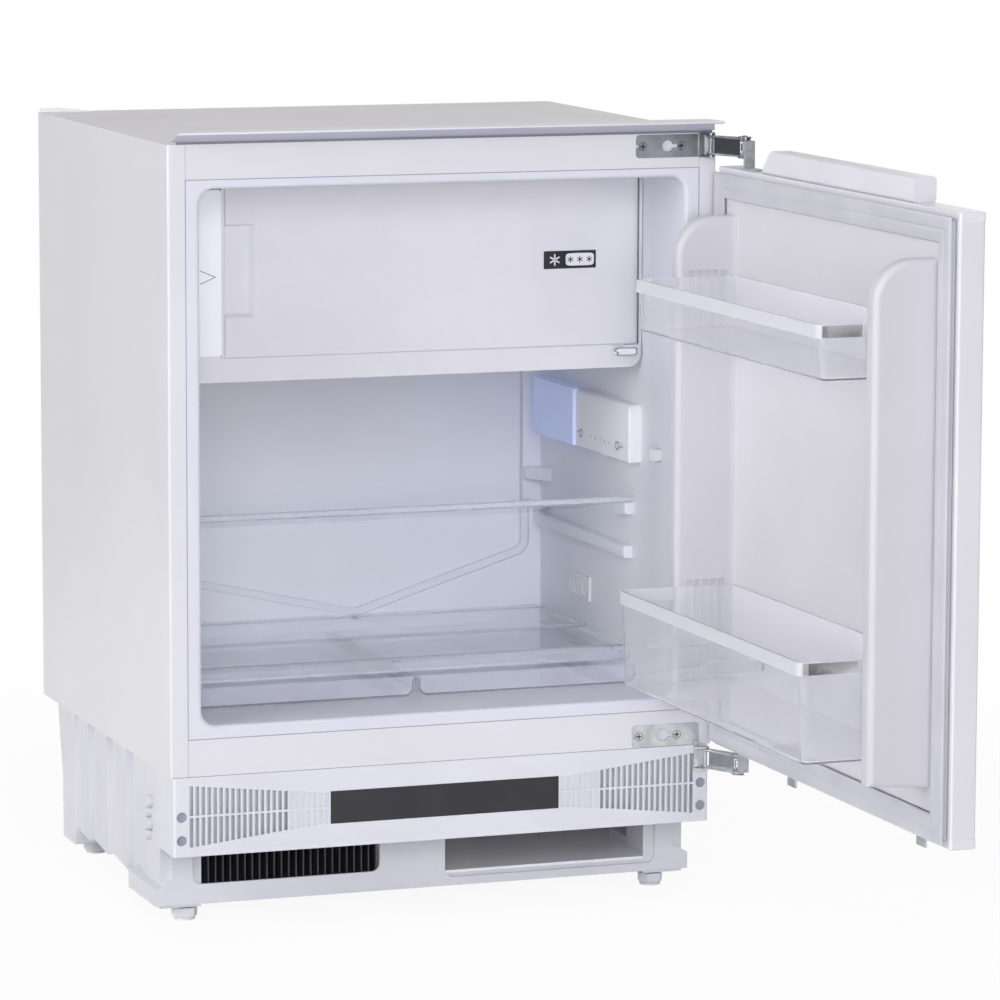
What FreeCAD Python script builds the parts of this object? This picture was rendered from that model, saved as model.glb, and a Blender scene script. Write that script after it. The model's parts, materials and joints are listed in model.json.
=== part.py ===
"""Built-under fridge with an ice box, standing with its door open.

Lengths are millimetres. The origin lies on the floor at the middle of the four feet, x runs to
the right of someone facing the fridge, y to the back and z up. Depths named y in the functions
below are measured from the cabinet's front plane, and door pieces are drawn shut, then swung open.
"""
import FreeCAD
import Part
import math
import os

V = FreeCAD.Vector
UP = V(0, 0, 1)
TINY = 1e-6

# Cabinet
WIDTH = 596.0
HEIGHT = 827.0
DEPTH = 510.0
BODY_BOTTOM = 166.0
SHEET = 1.0
SIDE_FLANGE = 19.0
TOP_RAIL = 36.0
BOTTOM_RAIL = 38.5
RAIL_SHEET = 2.0
STRIP = 3.0
STRIP_DEPTH = 58.0
STRIP_NOSE = 8.0
STRIP_LIP = 9.0
STRIP_RISE = 9.0
STRIP_MITRE = 8.0
STRIP_PAST_SIDE = 8.0
REAR_LIP = 5.0
REAR_LIP_LENGTH = 25.0
REAR_LIP_RUN = 35.0
EDGE_ROUND = 2.5

# Cavity and liner
WALL = 34.0
CEILING_WALL = 45.5
FLOOR_WALL = 52.0
BACK_WALL = 92.0
DRAFT = 6.0
LINER = 2.0
CORNER = 16.0
RIM_ROUND = 4.0
RECESS_MARGIN = 22.0
RECESS_DEPTH = 10.0
RECESS_TOP_GAP = 8.0
RECESS_ROUND = 10.0
GUTTER_X = 38.0
GUTTER_RISE = 40.0
GUTTER_END_RISE = 62.0
GUTTER_WIDTH = 8.0
GUTTER_DEPTH = 5.0
DRAIN_R = 6.0
DRAIN_DROP = 12.0
RAIL_WIDTH = 9.5
RAIL_ROUND = 3.0
RAIL_START = 142.0
RAIL_END_GAP = 13.0
RAIL_HEIGHT = 14.0
LOWER_RAIL_DROP = 52.0
STUB_LENGTH = 30.0
CORNER_STUB = 21.0
CORNER_STUB_END = 6.0
CORNER_STUB_LENGTH = 36.0
SEAT_GAP = 0.3

# Ice box
ICEBOX_HEIGHT = 212.5
BAR_HEIGHT = 25.0
FRAME_DEPTH = 16.0
FRAME_SETBACK = 4.0
FRAME_SIDE_GAP = 0.6
LATCH_STRIP = 59.0
FLAP_GAP = 1.0
FLAP_LINTEL = 8.0
FLAP_ROUND = 2.0
FLAP_PIN_R = 3.0
FLAP_PIN = 5.0
RUNNING_FIT = 0.05
ICEBOX_WALL = 2.0
ICEBOX_GAP = 1.5
GRIP_WIDTH = 33.0
GRIP_HEIGHT = 95.0
GRIP_DEPTH = 10.0
GRIP_FROM_TOP = 48.0
LATCH_WIDTH = 26.0
LATCH_DEPTH = 9.5
LATCH_GAP = 0.4
LATCH_TRAVEL = 3.0

# Shelf and crisper
SHELF_SHARE = 0.5284
GLASS = 4.0
SHELF_TRIM = 10.0
SHELF_TRIM_HEIGHT = 7.5
SHELF_SIDE_GAP = 1.6
COVER_RISE = 30.5
COVER_TRIM = 10.0
COVER_NOSE = 11.0
DRAWER_FRONT = 94.0
DRAWER_LIFT = 0.3
DRAWER_SIDE_GAP = 9.3
DRAWER_MIDDLE_GAP = 6.0
DRAWER_HEIGHT = 17.0
DRAWER_FRONT_HEIGHT = 21.0
DRAWER_WALL = 2.0
DRAWER_ROUND = 10.0

# Control box, lamp and switch on the right wall
CONTROL_Y = 119.0
CONTROL_LENGTH = 156.0
LAMP_BACK_GAP = 23.0
CONTROL_HEIGHT = 62.0
CONTROL_PROUD = 14.0
CONTROL_ROUND = 5.0
LAMP_PROUD = 18.0
SHELL = 2.0
DIAL_R = 22.0
DIAL_WIDTH = 6.0
DIAL_SHOWS = 4.0
DIAL_SPINDLE_R = 2.5
DIAL_ALONG = 80.0
DIAL_NOTCHES = 24
SWITCH_Y = 66.0
SWITCH_RISE = 15.0
SWITCH_SIZE = 12.0
SWITCH_PROUD = 9.0
SWITCH_TRAVEL = 6.0
SWITCH_BOX = 20.0
VENT_Y = 262.0
VENT_LENGTH = 64.0
VENT_BELOW_MIDDLE = 4.0
VENT_HEIGHT = 27.0
VENT_PROUD = 3.0
VENT_RIBS = 7

# Door, drawn shut
DOOR_OPEN = 91.0
DOOR_INSET = 8.0
DOOR_TOP_DROP = 35.0
DOOR_THICK = 27.0
DOOR_CAP = 10.0
CAP_PROUD = 0.4
DOOR_LIP = 30.0
GASKET = 8.5
GASKET_WIDTH = 26.0
GASKET_INSET = 5.0
SEAL_GAP = 0.5
PANEL_RAISE = 4.0
PANEL_SHEET = 2.0
DYKE_WIDTH = 21.5
DYKE_DEPTH = 61.0
DYKE_FROM_SEAL = 6.0
DYKE_CLEAR = 2.5
DYKE_HIGH = 16.0
DYKE_CURVE = 42.0
DYKE_FOOT = 5.0
DYKE_ROUND = 6.0
FLUTE = 6.0
FLUTE_PITCH = 9.0
FLUTES = 5
FLUTE_DEPTH = 1.5
FLUTE_RISE = 6.0
COVER_BLOCK_HALF = 183.0
COVER_BLOCK_HEIGHT = 25.0
COVER_BLOCK_SLANT = 24.0
TAB_DROP = 9.0
TAB_WIDTH = 20.0
TAB_PLACES = (90.0, -220.0)

# Door bins
BIN_SIDE_GAP = 0.7
BIN_BACK_GAP = 1.0
BIN_WALL = 2.0
BIN_SLOPE = 4.0
BIN_ROUND = 8.0
BIN_FOOT_ROUND = 4.0
BIN_TRIM = 1.8
BIN_TRIM_HEIGHT = 13.0
BIN_SEAT = 7.0
UPPER_BIN_Z = 617.0
UPPER_BIN_HEIGHT = 54.0
UPPER_BIN_REACH = 108.0
LOWER_BIN_Z = 247.0
LOWER_BIN_HEIGHT = 100.0
LOWER_BIN_REACH = 124.0
BIN_CLEARANCE = 6.0
RETAINER_LENGTH = 160.0
RETAINER_BAR = 3.0
RETAINER_HEIGHT = 12.0

# Hinges
HINGE_IN = 8.3
HINGE_OUT = 5.4
ARM_SIDE = 44.9
ARM_OUT = 13.9
ARM_SHARE = 1.1
KNUCKLE_R = 4.4
EYE_R = 6.0
HINGE_PIN_R = 2.2
HINGE_SHEET = 2.0
HINGE_LAYER = 0.5
PLATE_LENGTH = 76.0
PLATE_HEIGHT = 24.0
PLATE_END = 5.7
PLATE_PROUD = 0.3
PLATE_ROUND = 4.0
PAN_MARGIN = 2.0
ARM_HEIGHT = 20.0
UPPER_ARM_DROP = 22.5
LOWER_ARM_DROP = 24.5
SCREW_HEAD_R = 4.5
SCREW_R = 2.0
SCREW_LENGTH = 10.0
SCREW_FROM_EDGE = 8.0
SCREW_PITCH = 43.0

# Base
PLINTH_SETBACK = 62.0
BASE_SHEET = 3.0
BASE_BOTTOM = 15.0
GRILLE_BOTTOM = 82.5
GRILLE_SHEET = 3.0
GRILLE_INSET = 3.0
SLOT = 3.9
SLOT_PITCH = 6.35
SLOT_COUNT = 24
OPEN_SLOTS = 17
SLOT_BAR = 2.4
FIELD_FROM_CENTRE = 128.0
FIELD_INNER_HALF = 15.5
FIELD_OUTER_HALF = 32.0
BLIND_DEPTH = 1.5
GRILLE_RETURN = 65.0
PLUG_HOLE_R = 5.4
PLUG_HOLE_FROM_EDGE = 8.6
PLUG_HOLE_PITCH = 24.5
CENTRE_HALF = 126.0
CENTRE_HEIGHT = 34.5
POST_WIDTH = 44.0
POST_DEPTH = 50.0
BOSS_R = 6.0
SKIRT_INSET = 7.0
PLEAT_PITCH = 78.0
PLEAT_STEP = 7.0
PLEATS = 5
SKIRT_START = 112.0
SKIRT_LEAN = 61.0
SKIRT_BOTTOM = 31.0
SKID_LENGTH = 105.0
SKID_LIFT = 3.0
SKID_SLOPE = 9.0
SKID_TOP = 45.0
WALL_INSET = 18.0
INLET_MARGIN = 23.0
INLET_END = 52.0
INLET_SILL = 39.0
OUTLET_START = 21.0
OUTLET_MARGIN = 21.0
OUTLET_SILL = 27.0
FOOT_INSET = 37.0
FOOT_SETBACK = 80.0
FOOT_R = 14.0
FOOT_HEIGHT = 13.0
FOOT_CHAMFER = 3.0
FOOT_SOLE = 2.0
FOOT_STUD_R = 5.0
FOOT_STUD = 26.0

# Machine compartment
FIN = 1.5
FIN_PITCH = 8.0
FIN_COUNT = 24
CONDENSER_LENGTH = 110.0
CONDENSER_HEIGHT = 50.0
TUBE_R = 3.0
COMPRESSOR_R = 66.0
COMPRESSOR_HEIGHT = 104.0
COMPRESSOR_FROM_SIDE = 148.0
MOUNT_R = 9.0
MOUNT_HEIGHT = 14.0
MOUNT_SPREAD = 52.0
FAN_FROM_COMPRESSOR = 180.0
FAN_FORWARD = 20.0
FAN_Z = 86.0
FAN_R = 46.0
FAN_BLADES = 5
MOTOR_R = 19.0
MOTOR_LENGTH = 34.0
FAN_GAP = 2.0
TRAY_LENGTH = 150.0
TRAY_DEPTH = 58.0
TRAY_HEIGHT = 34.0
TRAY_GAP = 8.0
INLET_R = 8.0
INLET_BORE_R = 3.0

# Values worked out from the sizes above
FRONT = -DEPTH / 2
HALF = WIDTH / 2
BODY_TOP = HEIGHT - STRIP - STRIP_RISE
CAVITY = HALF - WALL
FLOOR = BODY_BOTTOM + FLOOR_WALL
CEILING = BODY_TOP - CEILING_WALL
CAVITY_DEPTH = DEPTH - BACK_WALL
FRAME_INNER = HALF - SIDE_FLANGE
TOP_RAIL_Z = BODY_TOP - TOP_RAIL
BOTTOM_RAIL_Z = BODY_BOTTOM + BOTTOM_RAIL
ICEBOX_Z = CEILING - ICEBOX_HEIGHT
FLAP_Y = UPPER_BIN_REACH + BIN_CLEARANCE
FRAME_Y = FLAP_Y + FRAME_SETBACK
ICEBOX_Y = FRAME_Y + FRAME_DEPTH
FLAP_Z = ICEBOX_Z + BAR_HEIGHT + FLAP_GAP
SHELF_Y = LOWER_BIN_REACH
COVER_Y = LOWER_BIN_REACH + BIN_CLEARANCE
COVER_Z = FLOOR + COVER_RISE
SHELF_Z = COVER_Z + SHELF_SHARE * (ICEBOX_Z - COVER_Z)
LOWER_RAIL_Z = SHELF_Z - LOWER_RAIL_DROP
CONTROL_Z = (SHELF_Z + ICEBOX_Z - CONTROL_HEIGHT) / 2
SWITCH_Z = CONTROL_Z + SWITCH_RISE
VENT_Z = (COVER_Z + LOWER_RAIL_Z - RAIL_HEIGHT - VENT_HEIGHT) / 2 - VENT_BELOW_MIDDLE
LAMP_LENGTH = CAVITY_DEPTH - LAMP_BACK_GAP - CONTROL_Y - CONTROL_LENGTH
RAIL_END = CAVITY_DEPTH - RAIL_END_GAP
SHELF_BACK_Z = LOWER_RAIL_Z + SEAT_GAP
SHELF_LENGTH = math.hypot(RAIL_END - SHELF_Y, SHELF_Z - SHELF_BACK_Z)
SHELF_TILT = math.degrees(math.atan2(SHELF_Z - SHELF_BACK_Z, RAIL_END - SHELF_Y))
DRAIN_Z = FLOOR + GUTTER_RISE - DRAIN_DROP
DOOR_HALF = HALF - DOOR_INSET
DOOR_TOP = BODY_TOP - DOOR_TOP_DROP
DOOR_INNER = SEAL_GAP + GASKET
DOOR_OUTER = DOOR_INNER + DOOR_THICK
SEAL_HALF = DOOR_HALF - GASKET_INSET
SEAL_TOP = DOOR_TOP - GASKET_INSET
SEAL_BOTTOM = BODY_BOTTOM + GASKET_INSET
PANEL_HALF = SEAL_HALF - GASKET_WIDTH
PANEL_OUT = DOOR_INNER - PANEL_RAISE
DYKE_OUTER = PANEL_HALF - DYKE_FROM_SEAL
DYKE_INNER = DYKE_OUTER - DYKE_WIDTH
BIN_HALF = DYKE_INNER - BIN_SIDE_GAP
PIVOT = (HALF - HINGE_IN, -HINGE_OUT)
EYE = (PIVOT[0] - ARM_SIDE, PIVOT[1] - ARM_OUT)
PLATE_BACK = HINGE_SHEET - PLATE_PROUD
UPPER_ARM_Z = BODY_TOP - UPPER_ARM_DROP
LOWER_ARM_Z = BODY_BOTTOM - LOWER_ARM_DROP
TRAY_TOP = SKIRT_BOTTOM + BASE_SHEET
SKID_BOTTOM = BASE_BOTTOM + SKID_LIFT
FOOT_X = HALF - FOOT_INSET
GRILLE_HALF = HALF - GRILLE_INSET
SKIRT_BACK = SKIRT_START + PLEATS * PLEAT_PITCH
TRAY_Y = DEPTH - FOOT_SETBACK + POST_DEPTH / 2 - TRAY_DEPTH
COMPRESSOR_X = HALF - COMPRESSOR_FROM_SIDE
COMPRESSOR_Y = TRAY_Y - TRAY_GAP - BASE_SHEET - COMPRESSOR_R
FAN_X = COMPRESSOR_X - FAN_FROM_COMPRESSOR
FAN_Y = COMPRESSOR_Y - FAN_FORWARD


def box(x0, x1, y0, y1, z0, z1):
    """Box between two corners, with depth y from the front plane."""
    return Part.makeBox(x1 - x0, y1 - y0, z1 - z0, V(x0, FRONT + y0, z0))


def prism(points, direction):
    """Closed outline of (x, y, z) points carried along a direction."""
    corners = [V(x, FRONT + y, z) for x, y, z in points]
    outline = Part.makePolygon(corners + [corners[0]])
    return Part.Face(outline).extrude(direction)


def plan(points, z0, z1):
    """Outline of (x, y) points seen from above, raised from z0 to z1."""
    return prism([(x, y, z0) for x, y in points], V(0, 0, z1 - z0))


def side(points, x0, x1):
    """Outline of (y, z) points seen from the side, carried from x0 to x1."""
    return prism([(x0, y, z) for y, z in points], V(x1 - x0, 0, 0))


def front(points, y0, y1):
    """Outline of (x, z) points seen from the front, carried from y0 to y1."""
    return prism([(x, y0, z) for x, z in points], V(0, y1 - y0, 0))


def rod(x, y, z, radius, length, axis=UP):
    """Round bar that starts at a point and runs along an axis."""
    return Part.makeCylinder(radius, length, V(x, FRONT + y, z), axis)


def rounded_wire(half, z0, z1, radius, y):
    """Rectangle about x = 0 with four arcs for corners, upright at depth y."""
    near = radius * (1 - math.sqrt(0.5))

    def point(x, z):
        return V(x, FRONT + y, z)

    edges = [
        Part.LineSegment(point(radius - half, z0), point(half - radius, z0)),
        Part.Arc(point(half - radius, z0), point(half - near, z0 + near), point(half, z0 + radius)),
        Part.LineSegment(point(half, z0 + radius), point(half, z1 - radius)),
        Part.Arc(point(half, z1 - radius), point(half - near, z1 - near), point(half - radius, z1)),
        Part.LineSegment(point(half - radius, z1), point(radius - half, z1)),
        Part.Arc(point(radius - half, z1), point(near - half, z1 - near), point(-half, z1 - radius)),
        Part.LineSegment(point(-half, z1 - radius), point(-half, z0 + radius)),
        Part.Arc(point(-half, z0 + radius), point(near - half, z0 + near), point(radius - half, z0)),
    ]
    return Part.Wire([edge.toShape() for edge in edges])


def wall_at(y):
    """Half the cavity's width at depth y: the moulded side walls draw in towards the back."""
    return CAVITY - DRAFT * y / CAVITY_DEPTH


def tub(y0, y1, z0, z1, grow, radius):
    """Drafted block that follows the cavity's side walls, grown or shrunk by a margin."""
    near = rounded_wire(wall_at(y0) + grow, z0, z1, radius, y0)
    far = rounded_wire(wall_at(y1) + grow, z0, z1, radius, y1)
    return Part.makeLoft([near, far], True, True)


def rounded(shape, radius, axis):
    """Fillet of every straight edge that runs along an axis."""
    edges = []
    for edge in shape.Edges:
        straight = isinstance(edge.Curve, Part.Line)
        if straight and abs(edge.tangentAt(edge.FirstParameter).dot(axis)) > 1 - TINY:
            edges.append(edge)
    return shape.makeFillet(radius, edges)


def flat_in(edge, axis):
    """Whether an edge has no length along the x, y or z axis."""
    return getattr(edge.BoundBox, axis + "Length") < TINY


def upright_edges(shape, x, y):
    """Upright edges of a shape that stand at a plan place."""
    found = []
    for edge in shape.Edges:
        if flat_in(edge, "X") and flat_in(edge, "Y"):
            middle = edge.BoundBox.Center
            if math.hypot(middle.x - x, middle.y - FRONT - y) < TINY:
                found.append(edge)
    return found


def level_edges(shape, z):
    """Edges of a shape that lie at a height."""
    return [edge for edge in shape.Edges if flat_in(edge, "Z") and abs(edge.BoundBox.ZMin - z) < TINY]


def front_edges(shape, y):
    """Edges of a shape that lie in the upright plane at a depth."""
    return [edge for edge in shape.Edges if flat_in(edge, "Y") and abs(edge.BoundBox.YMin - FRONT - y) < TINY]


def mirrored(shape):
    """The same piece on the other side of the cabinet's middle."""
    return shape.mirror(V(0, 0, 0), V(1, 0, 0))


def both_sides(shape):
    """A piece and its mirror image, as two solids of one node."""
    return Part.makeCompound([shape, mirrored(shape)])


def swing_arm(shape):
    """Turns a piece drawn shut about the cabinet's hinge pin to the open door's place."""
    turned = shape.copy()
    turned.rotate(V(PIVOT[0], FRONT + PIVOT[1], 0), UP, DOOR_OPEN * ARM_SHARE)
    return turned


def swing_door(shape):
    """Turns a door piece about the eye of the arm, then with the arm about the cabinet's pin."""
    turned = shape.copy()
    turned.rotate(V(EYE[0], FRONT + EYE[1], 0), UP, DOOR_OPEN * (1 - ARM_SHARE))
    return swing_arm(turned)


def export(name, shape):
    """Writes one node's solids."""
    shape.exportStep(os.path.join("parts", name + ".step"))


# Cabinet shell


def side_panels():
    """Painted sheet sides, each folded in at the front; the right fold is cut out for the hinge plates."""
    sheet = box(HALF - SHEET, HALF, 0, DEPTH, BODY_BOTTOM, BODY_TOP)
    fold = box(FRAME_INNER, HALF, 0, SHEET, BODY_BOTTOM, BODY_TOP)
    panel = sheet.fuse(fold).removeSplitter()
    panel = panel.makeFillet(EDGE_ROUND, upright_edges(panel, HALF, 0))
    panel = panel.makeFillet(EDGE_ROUND - SHEET, upright_edges(panel, HALF - SHEET, SHEET))
    recesses = plate_recesses(PLATE_BACK)
    return Part.makeCompound([panel.cut(recesses), mirrored(panel)])


def top_panel():
    """Painted top sheet with a short lip turned up at the left of its rear edge."""
    inner = HALF - SHEET
    low = BODY_TOP - SHEET
    sheet = box(-inner, inner, RAIL_SHEET, DEPTH - SHEET, low, BODY_TOP)
    flat_end = REAR_LIP_LENGTH - inner
    run_end = flat_end + REAR_LIP_RUN
    top = low + REAR_LIP
    outline = [(-inner, low), (-inner, top), (flat_end, top), (run_end, BODY_TOP), (run_end, low)]
    lip = front(outline, DEPTH - SHEET - REAR_LIP, DEPTH - REAR_LIP)
    return sheet.fuse(lip).removeSplitter()


def top_strip():
    """Folded profile over the top's front edge: a nose, a flat with a tapered right end, and a rear foot."""
    left = -HALF + 2 * SHEET
    right = HALF + STRIP_PAST_SIDE
    start = left + STRIP_MITRE
    under = HEIGHT - STRIP
    low = HEIGHT - STRIP_LIP
    outline = [(start, -STRIP_NOSE), (right, -STRIP_NOSE / 2), (HALF, STRIP_DEPTH), (start, STRIP_DEPTH)]
    sheet = plan(outline, under, HEIGHT)
    nose = front([(left, low), (start, HEIGHT), (HALF, HEIGHT), (HALF, low)], -STRIP_NOSE, STRIP - STRIP_NOSE)
    foot = box(start, HALF, STRIP_DEPTH - STRIP, STRIP_DEPTH, BODY_TOP, HEIGHT)
    return sheet.fuse([nose, foot]).removeSplitter()


def back_panel():
    """Flat sheet that closes the cabinet's back."""
    return box(SHEET - HALF, HALF - SHEET, DEPTH - SHEET, DEPTH, BODY_BOTTOM, BODY_TOP)


def floor_pan(tube):
    """Sheet under the insulation, with a hole for the drain tube."""
    inner = HALF - SHEET
    return box(-inner, inner, RAIL_SHEET, DEPTH - SHEET, BODY_BOTTOM, BODY_BOTTOM + SHEET).cut(tube)


def screw_places(z):
    """Centres (x, z) of the two screws of one hinge plate."""
    right = PIVOT[0] - PLATE_END
    first = right - PLATE_LENGTH + SCREW_FROM_EDGE
    return [(first, z), (first + SCREW_PITCH, z)]


def upper_plate_z():
    """Lower edge of the upper hinge plate."""
    return UPPER_ARM_Z - HINGE_LAYER - HINGE_SHEET


def lower_plate_z():
    """Lower edge of the lower hinge plate, which stands on the bottom rail."""
    return BODY_BOTTOM


def all_screws():
    """Centres (x, z) of the four hinge screws."""
    middle = PLATE_HEIGHT / 2
    return screw_places(upper_plate_z() + middle) + screw_places(lower_plate_z() + middle)


def screw_shanks(y0, y1):
    """The screws' shanks between two depths, as one tool for drilling."""
    return Part.makeCompound([rod(x, y0, z, SCREW_R, y1 - y0, V(0, 1, 0)) for x, z in all_screws()])


def plate_blank(plate_z, y0, y1, grow=0.0):
    """Round-cornered outline of a hinge plate between two depths, grown by a margin."""
    right = PIVOT[0] - PLATE_END + grow
    left = PIVOT[0] - PLATE_END - PLATE_LENGTH - grow
    block = box(left, right, y0, y1, plate_z - grow, plate_z + PLATE_HEIGHT + grow)
    return rounded(block, PLATE_ROUND + grow, V(0, 1, 0))


def plate_recesses(depth):
    """Both hinge plates' seats, sunk from the front plane to a depth."""
    return [plate_blank(z, -PLATE_PROUD, depth) for z in (upper_plate_z(), lower_plate_z())]


def plate_pan(plate_z):
    """Pressed pan of a rail that holds a hinge plate level with the front."""
    pan = plate_blank(plate_z, PLATE_BACK, PLATE_BACK + RAIL_SHEET, PAN_MARGIN)
    return pan.common(box(-HALF, HALF, 0, DEPTH, BODY_BOTTOM + SHEET, BODY_TOP - SHEET))


def front_rails():
    """Rails across the front, above and below the liner, each with a pan for a hinge plate."""
    upper = box(-FRAME_INNER, FRAME_INNER, 0, RAIL_SHEET, TOP_RAIL_Z, BODY_TOP)
    lower = box(-FRAME_INNER, FRAME_INNER, 0, RAIL_SHEET, BODY_BOTTOM, BOTTOM_RAIL_Z)
    holes = screw_shanks(0, SCREW_LENGTH)
    rails = []
    for rail, plate_z in ((upper, upper_plate_z()), (lower, lower_plate_z())):
        sunk = rail.cut(plate_recesses(PLATE_BACK)).fuse(plate_pan(plate_z))
        rails.append(sunk.removeSplitter().cut(holes))
    return Part.makeCompound(rails)


# Liner and insulation


def recess_points():
    """Outline (x, z) of the cold plate's recess: a flat top and a floor that falls to the drain."""
    half = wall_at(CAVITY_DEPTH) - RECESS_MARGIN
    top = ICEBOX_Z - RECESS_TOP_GAP
    low = FLOOR + GUTTER_RISE
    end = low + GUTTER_END_RISE
    return [(-half, end), (GUTTER_X, low), (half, end), (half, top), (-half, top)]


def recess_block(grow, y0, y1):
    """The recess, grown by a margin with its corners kept sharp, then rounded, between two depths."""
    corners = [V(x, FRONT + y0, z) for x, z in recess_points()]
    outline = Part.makePolygon(corners + [corners[0]])
    if grow:
        outline = outline.makeOffset2D(grow, join=2)
    block = Part.Face(outline).extrude(V(0, y1 - y0, 0))
    return rounded(block, RECESS_ROUND + grow, V(0, 1, 0))


def gutter_block(grow, y1):
    """Drip gutter round the foot of the recess, with its spout over the drain, grown by a margin."""
    y0 = CAVITY_DEPTH - LINER
    half = DRAIN_R + grow
    spout = box(GUTTER_X - half, GUTTER_X + half, y0, y1, DRAIN_Z - half, FLOOR + GUTTER_RISE)
    above = box(-HALF, HALF, 0, DEPTH, LOWER_RAIL_Z + RAIL_HEIGHT + grow, HEIGHT)
    return recess_block(GUTTER_WIDTH + grow, y0, y1).fuse(spout).cut(above)


def liner_ledge(y0, y1, z_top, height=RAIL_HEIGHT):
    """Moulded ledge along the right wall between two depths, soft along its inner edges."""
    outline = [
        (wall_at(y0) + LINER / 2, y0),
        (wall_at(y0) - RAIL_WIDTH, y0),
        (wall_at(y1) - RAIL_WIDTH, y1),
        (wall_at(y1) + LINER / 2, y1),
    ]
    block = plan(outline, z_top - height, z_top)
    inner = [edge for edge in block.Edges if edge.BoundBox.XMax < wall_at(y1) - LINER]
    return block.makeFillet(RAIL_ROUND, [edge for edge in inner if edge.BoundBox.YMin < FRONT + y1 - LINER])


def tilted(shape):
    """Turns a piece drawn level about the shelf's rear rest, so that its front rises."""
    turned = shape.copy()
    turned.rotate(V(0, FRONT + RAIL_END, SHELF_BACK_Z), V(1, 0, 0), -SHELF_TILT)
    return turned


def shelf_stub():
    """Short ledge under the front of the shelf, leaning as the shelf does."""
    start = RAIL_END - SHELF_LENGTH + RAIL_START - SHELF_Y
    return tilted(liner_ledge(start, start + STUB_LENGTH, SHELF_BACK_Z - SEAT_GAP))


def corner_stub():
    """Three-cornered ledge in the rear corner, for the shelf's level place."""
    back = CAVITY_DEPTH + LINER / 2
    start = back - CORNER_STUB_LENGTH
    wall = wall_at(CAVITY_DEPTH)
    outline = [
        (wall_at(start) + LINER / 2, start),
        (wall - CORNER_STUB, back - CORNER_STUB_END),
        (wall - CORNER_STUB, back),
        (wall + LINER / 2, back),
    ]
    top = SHELF_Z - SEAT_GAP
    return plan(outline, top - RAIL_HEIGHT, top)


def wall_ledges():
    """Every ledge of the right wall: for the shelf's front, its back, its level place and the crisper cover."""
    return [
        shelf_stub(),
        liner_ledge(RAIL_START, CAVITY_DEPTH + LINER / 2, LOWER_RAIL_Z),
        corner_stub(),
        liner_ledge(RAIL_START, RAIL_END, COVER_Z - SEAT_GAP, RAIL_HEIGHT / 2),
    ]


def switch_hole(grow):
    """Square way through the right wall for the light switch."""
    half = SWITCH_SIZE / 2 + grow
    reach = wall_at(SWITCH_Y)
    low = SWITCH_Z - half
    return box(reach - LINER, reach + SWITCH_BOX, SWITCH_Y - half, SWITCH_Y + half, low, low + 2 * half)


def drain_way(radius, y0, y1):
    """Level bore of the drain, through the back wall."""
    return rod(GUTTER_X, y0, DRAIN_Z, radius, y1 - y0, V(0, 1, 0))


def recess_pads():
    """Outsides of the recess and the gutter, which stand into the insulation."""
    pad = recess_block(LINER, CAVITY_DEPTH, CAVITY_DEPTH + RECESS_DEPTH + LINER)
    return [pad, gutter_block(LINER, CAVITY_DEPTH + GUTTER_DEPTH + LINER)]


def inner_liner():
    """Moulded tub with a front flange, ledges and the drip gutter in its back wall."""
    inside = tub(-SHEET, CAVITY_DEPTH, FLOOR, CEILING, 0, CORNER)
    outside = tub(0, CAVITY_DEPTH + LINER, FLOOR - LINER, CEILING + LINER, LINER, CORNER + LINER)
    flange = box(-FRAME_INNER, FRAME_INNER, 0, RAIL_SHEET, BOTTOM_RAIL_Z, TOP_RAIL_Z)
    back = CAVITY_DEPTH + RECESS_DEPTH
    shell = outside.fuse([flange] + recess_pads()).cut(inside)
    shell = shell.cut(recess_block(0, CAVITY_DEPTH - LINER, back))
    shell = shell.cut(gutter_block(0, CAVITY_DEPTH + GUTTER_DEPTH))
    ledges = wall_ledges()
    ledges += [mirrored(ledge) for ledge in ledges]
    shell = shell.fuse(ledges).removeSplitter()
    rim = [edge for edge in front_edges(shell, 0) if edge.BoundBox.XMax - LINER < CAVITY]
    rim = [edge for edge in rim if edge.BoundBox.XMin + LINER > -CAVITY]
    shell = shell.makeFillet(RIM_ROUND, [edge for edge in rim if FLOOR - LINER < edge.BoundBox.ZMin])
    return shell.cut(switch_hole(LATCH_GAP)).cut(drain_way(DRAIN_R, 0, DEPTH))


def drain_tube():
    """Elbow that takes melt water from the gutter down through the insulation to the tray."""
    z = DRAIN_Z
    start = CAVITY_DEPTH + GUTTER_DEPTH
    bend = DRAIN_R * 2
    down_y = CAVITY_DEPTH + RECESS_DEPTH + LINER + DRAIN_R + bend
    end = TRAY_TOP + TRAY_HEIGHT

    def point(y, height):
        return V(GUTTER_X, FRONT + y, height)

    slope = math.sqrt(0.5)
    middle = point(down_y - bend + bend * slope, z - bend + bend * slope)
    path = Part.Wire(
        [
            Part.LineSegment(point(start, z), point(down_y - bend, z)).toShape(),
            Part.Arc(point(down_y - bend, z), middle, point(down_y, z - bend)).toShape(),
            Part.LineSegment(point(down_y, z - bend), point(down_y, end)).toShape(),
        ]
    )
    tubes = []
    for radius in (DRAIN_R, DRAIN_R - SHELL):
        ring = Part.Wire(Part.makeCircle(radius, point(start, z), V(0, 1, 0)))
        tubes.append(path.makePipeShell([ring], True, True))
    return tubes


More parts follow.
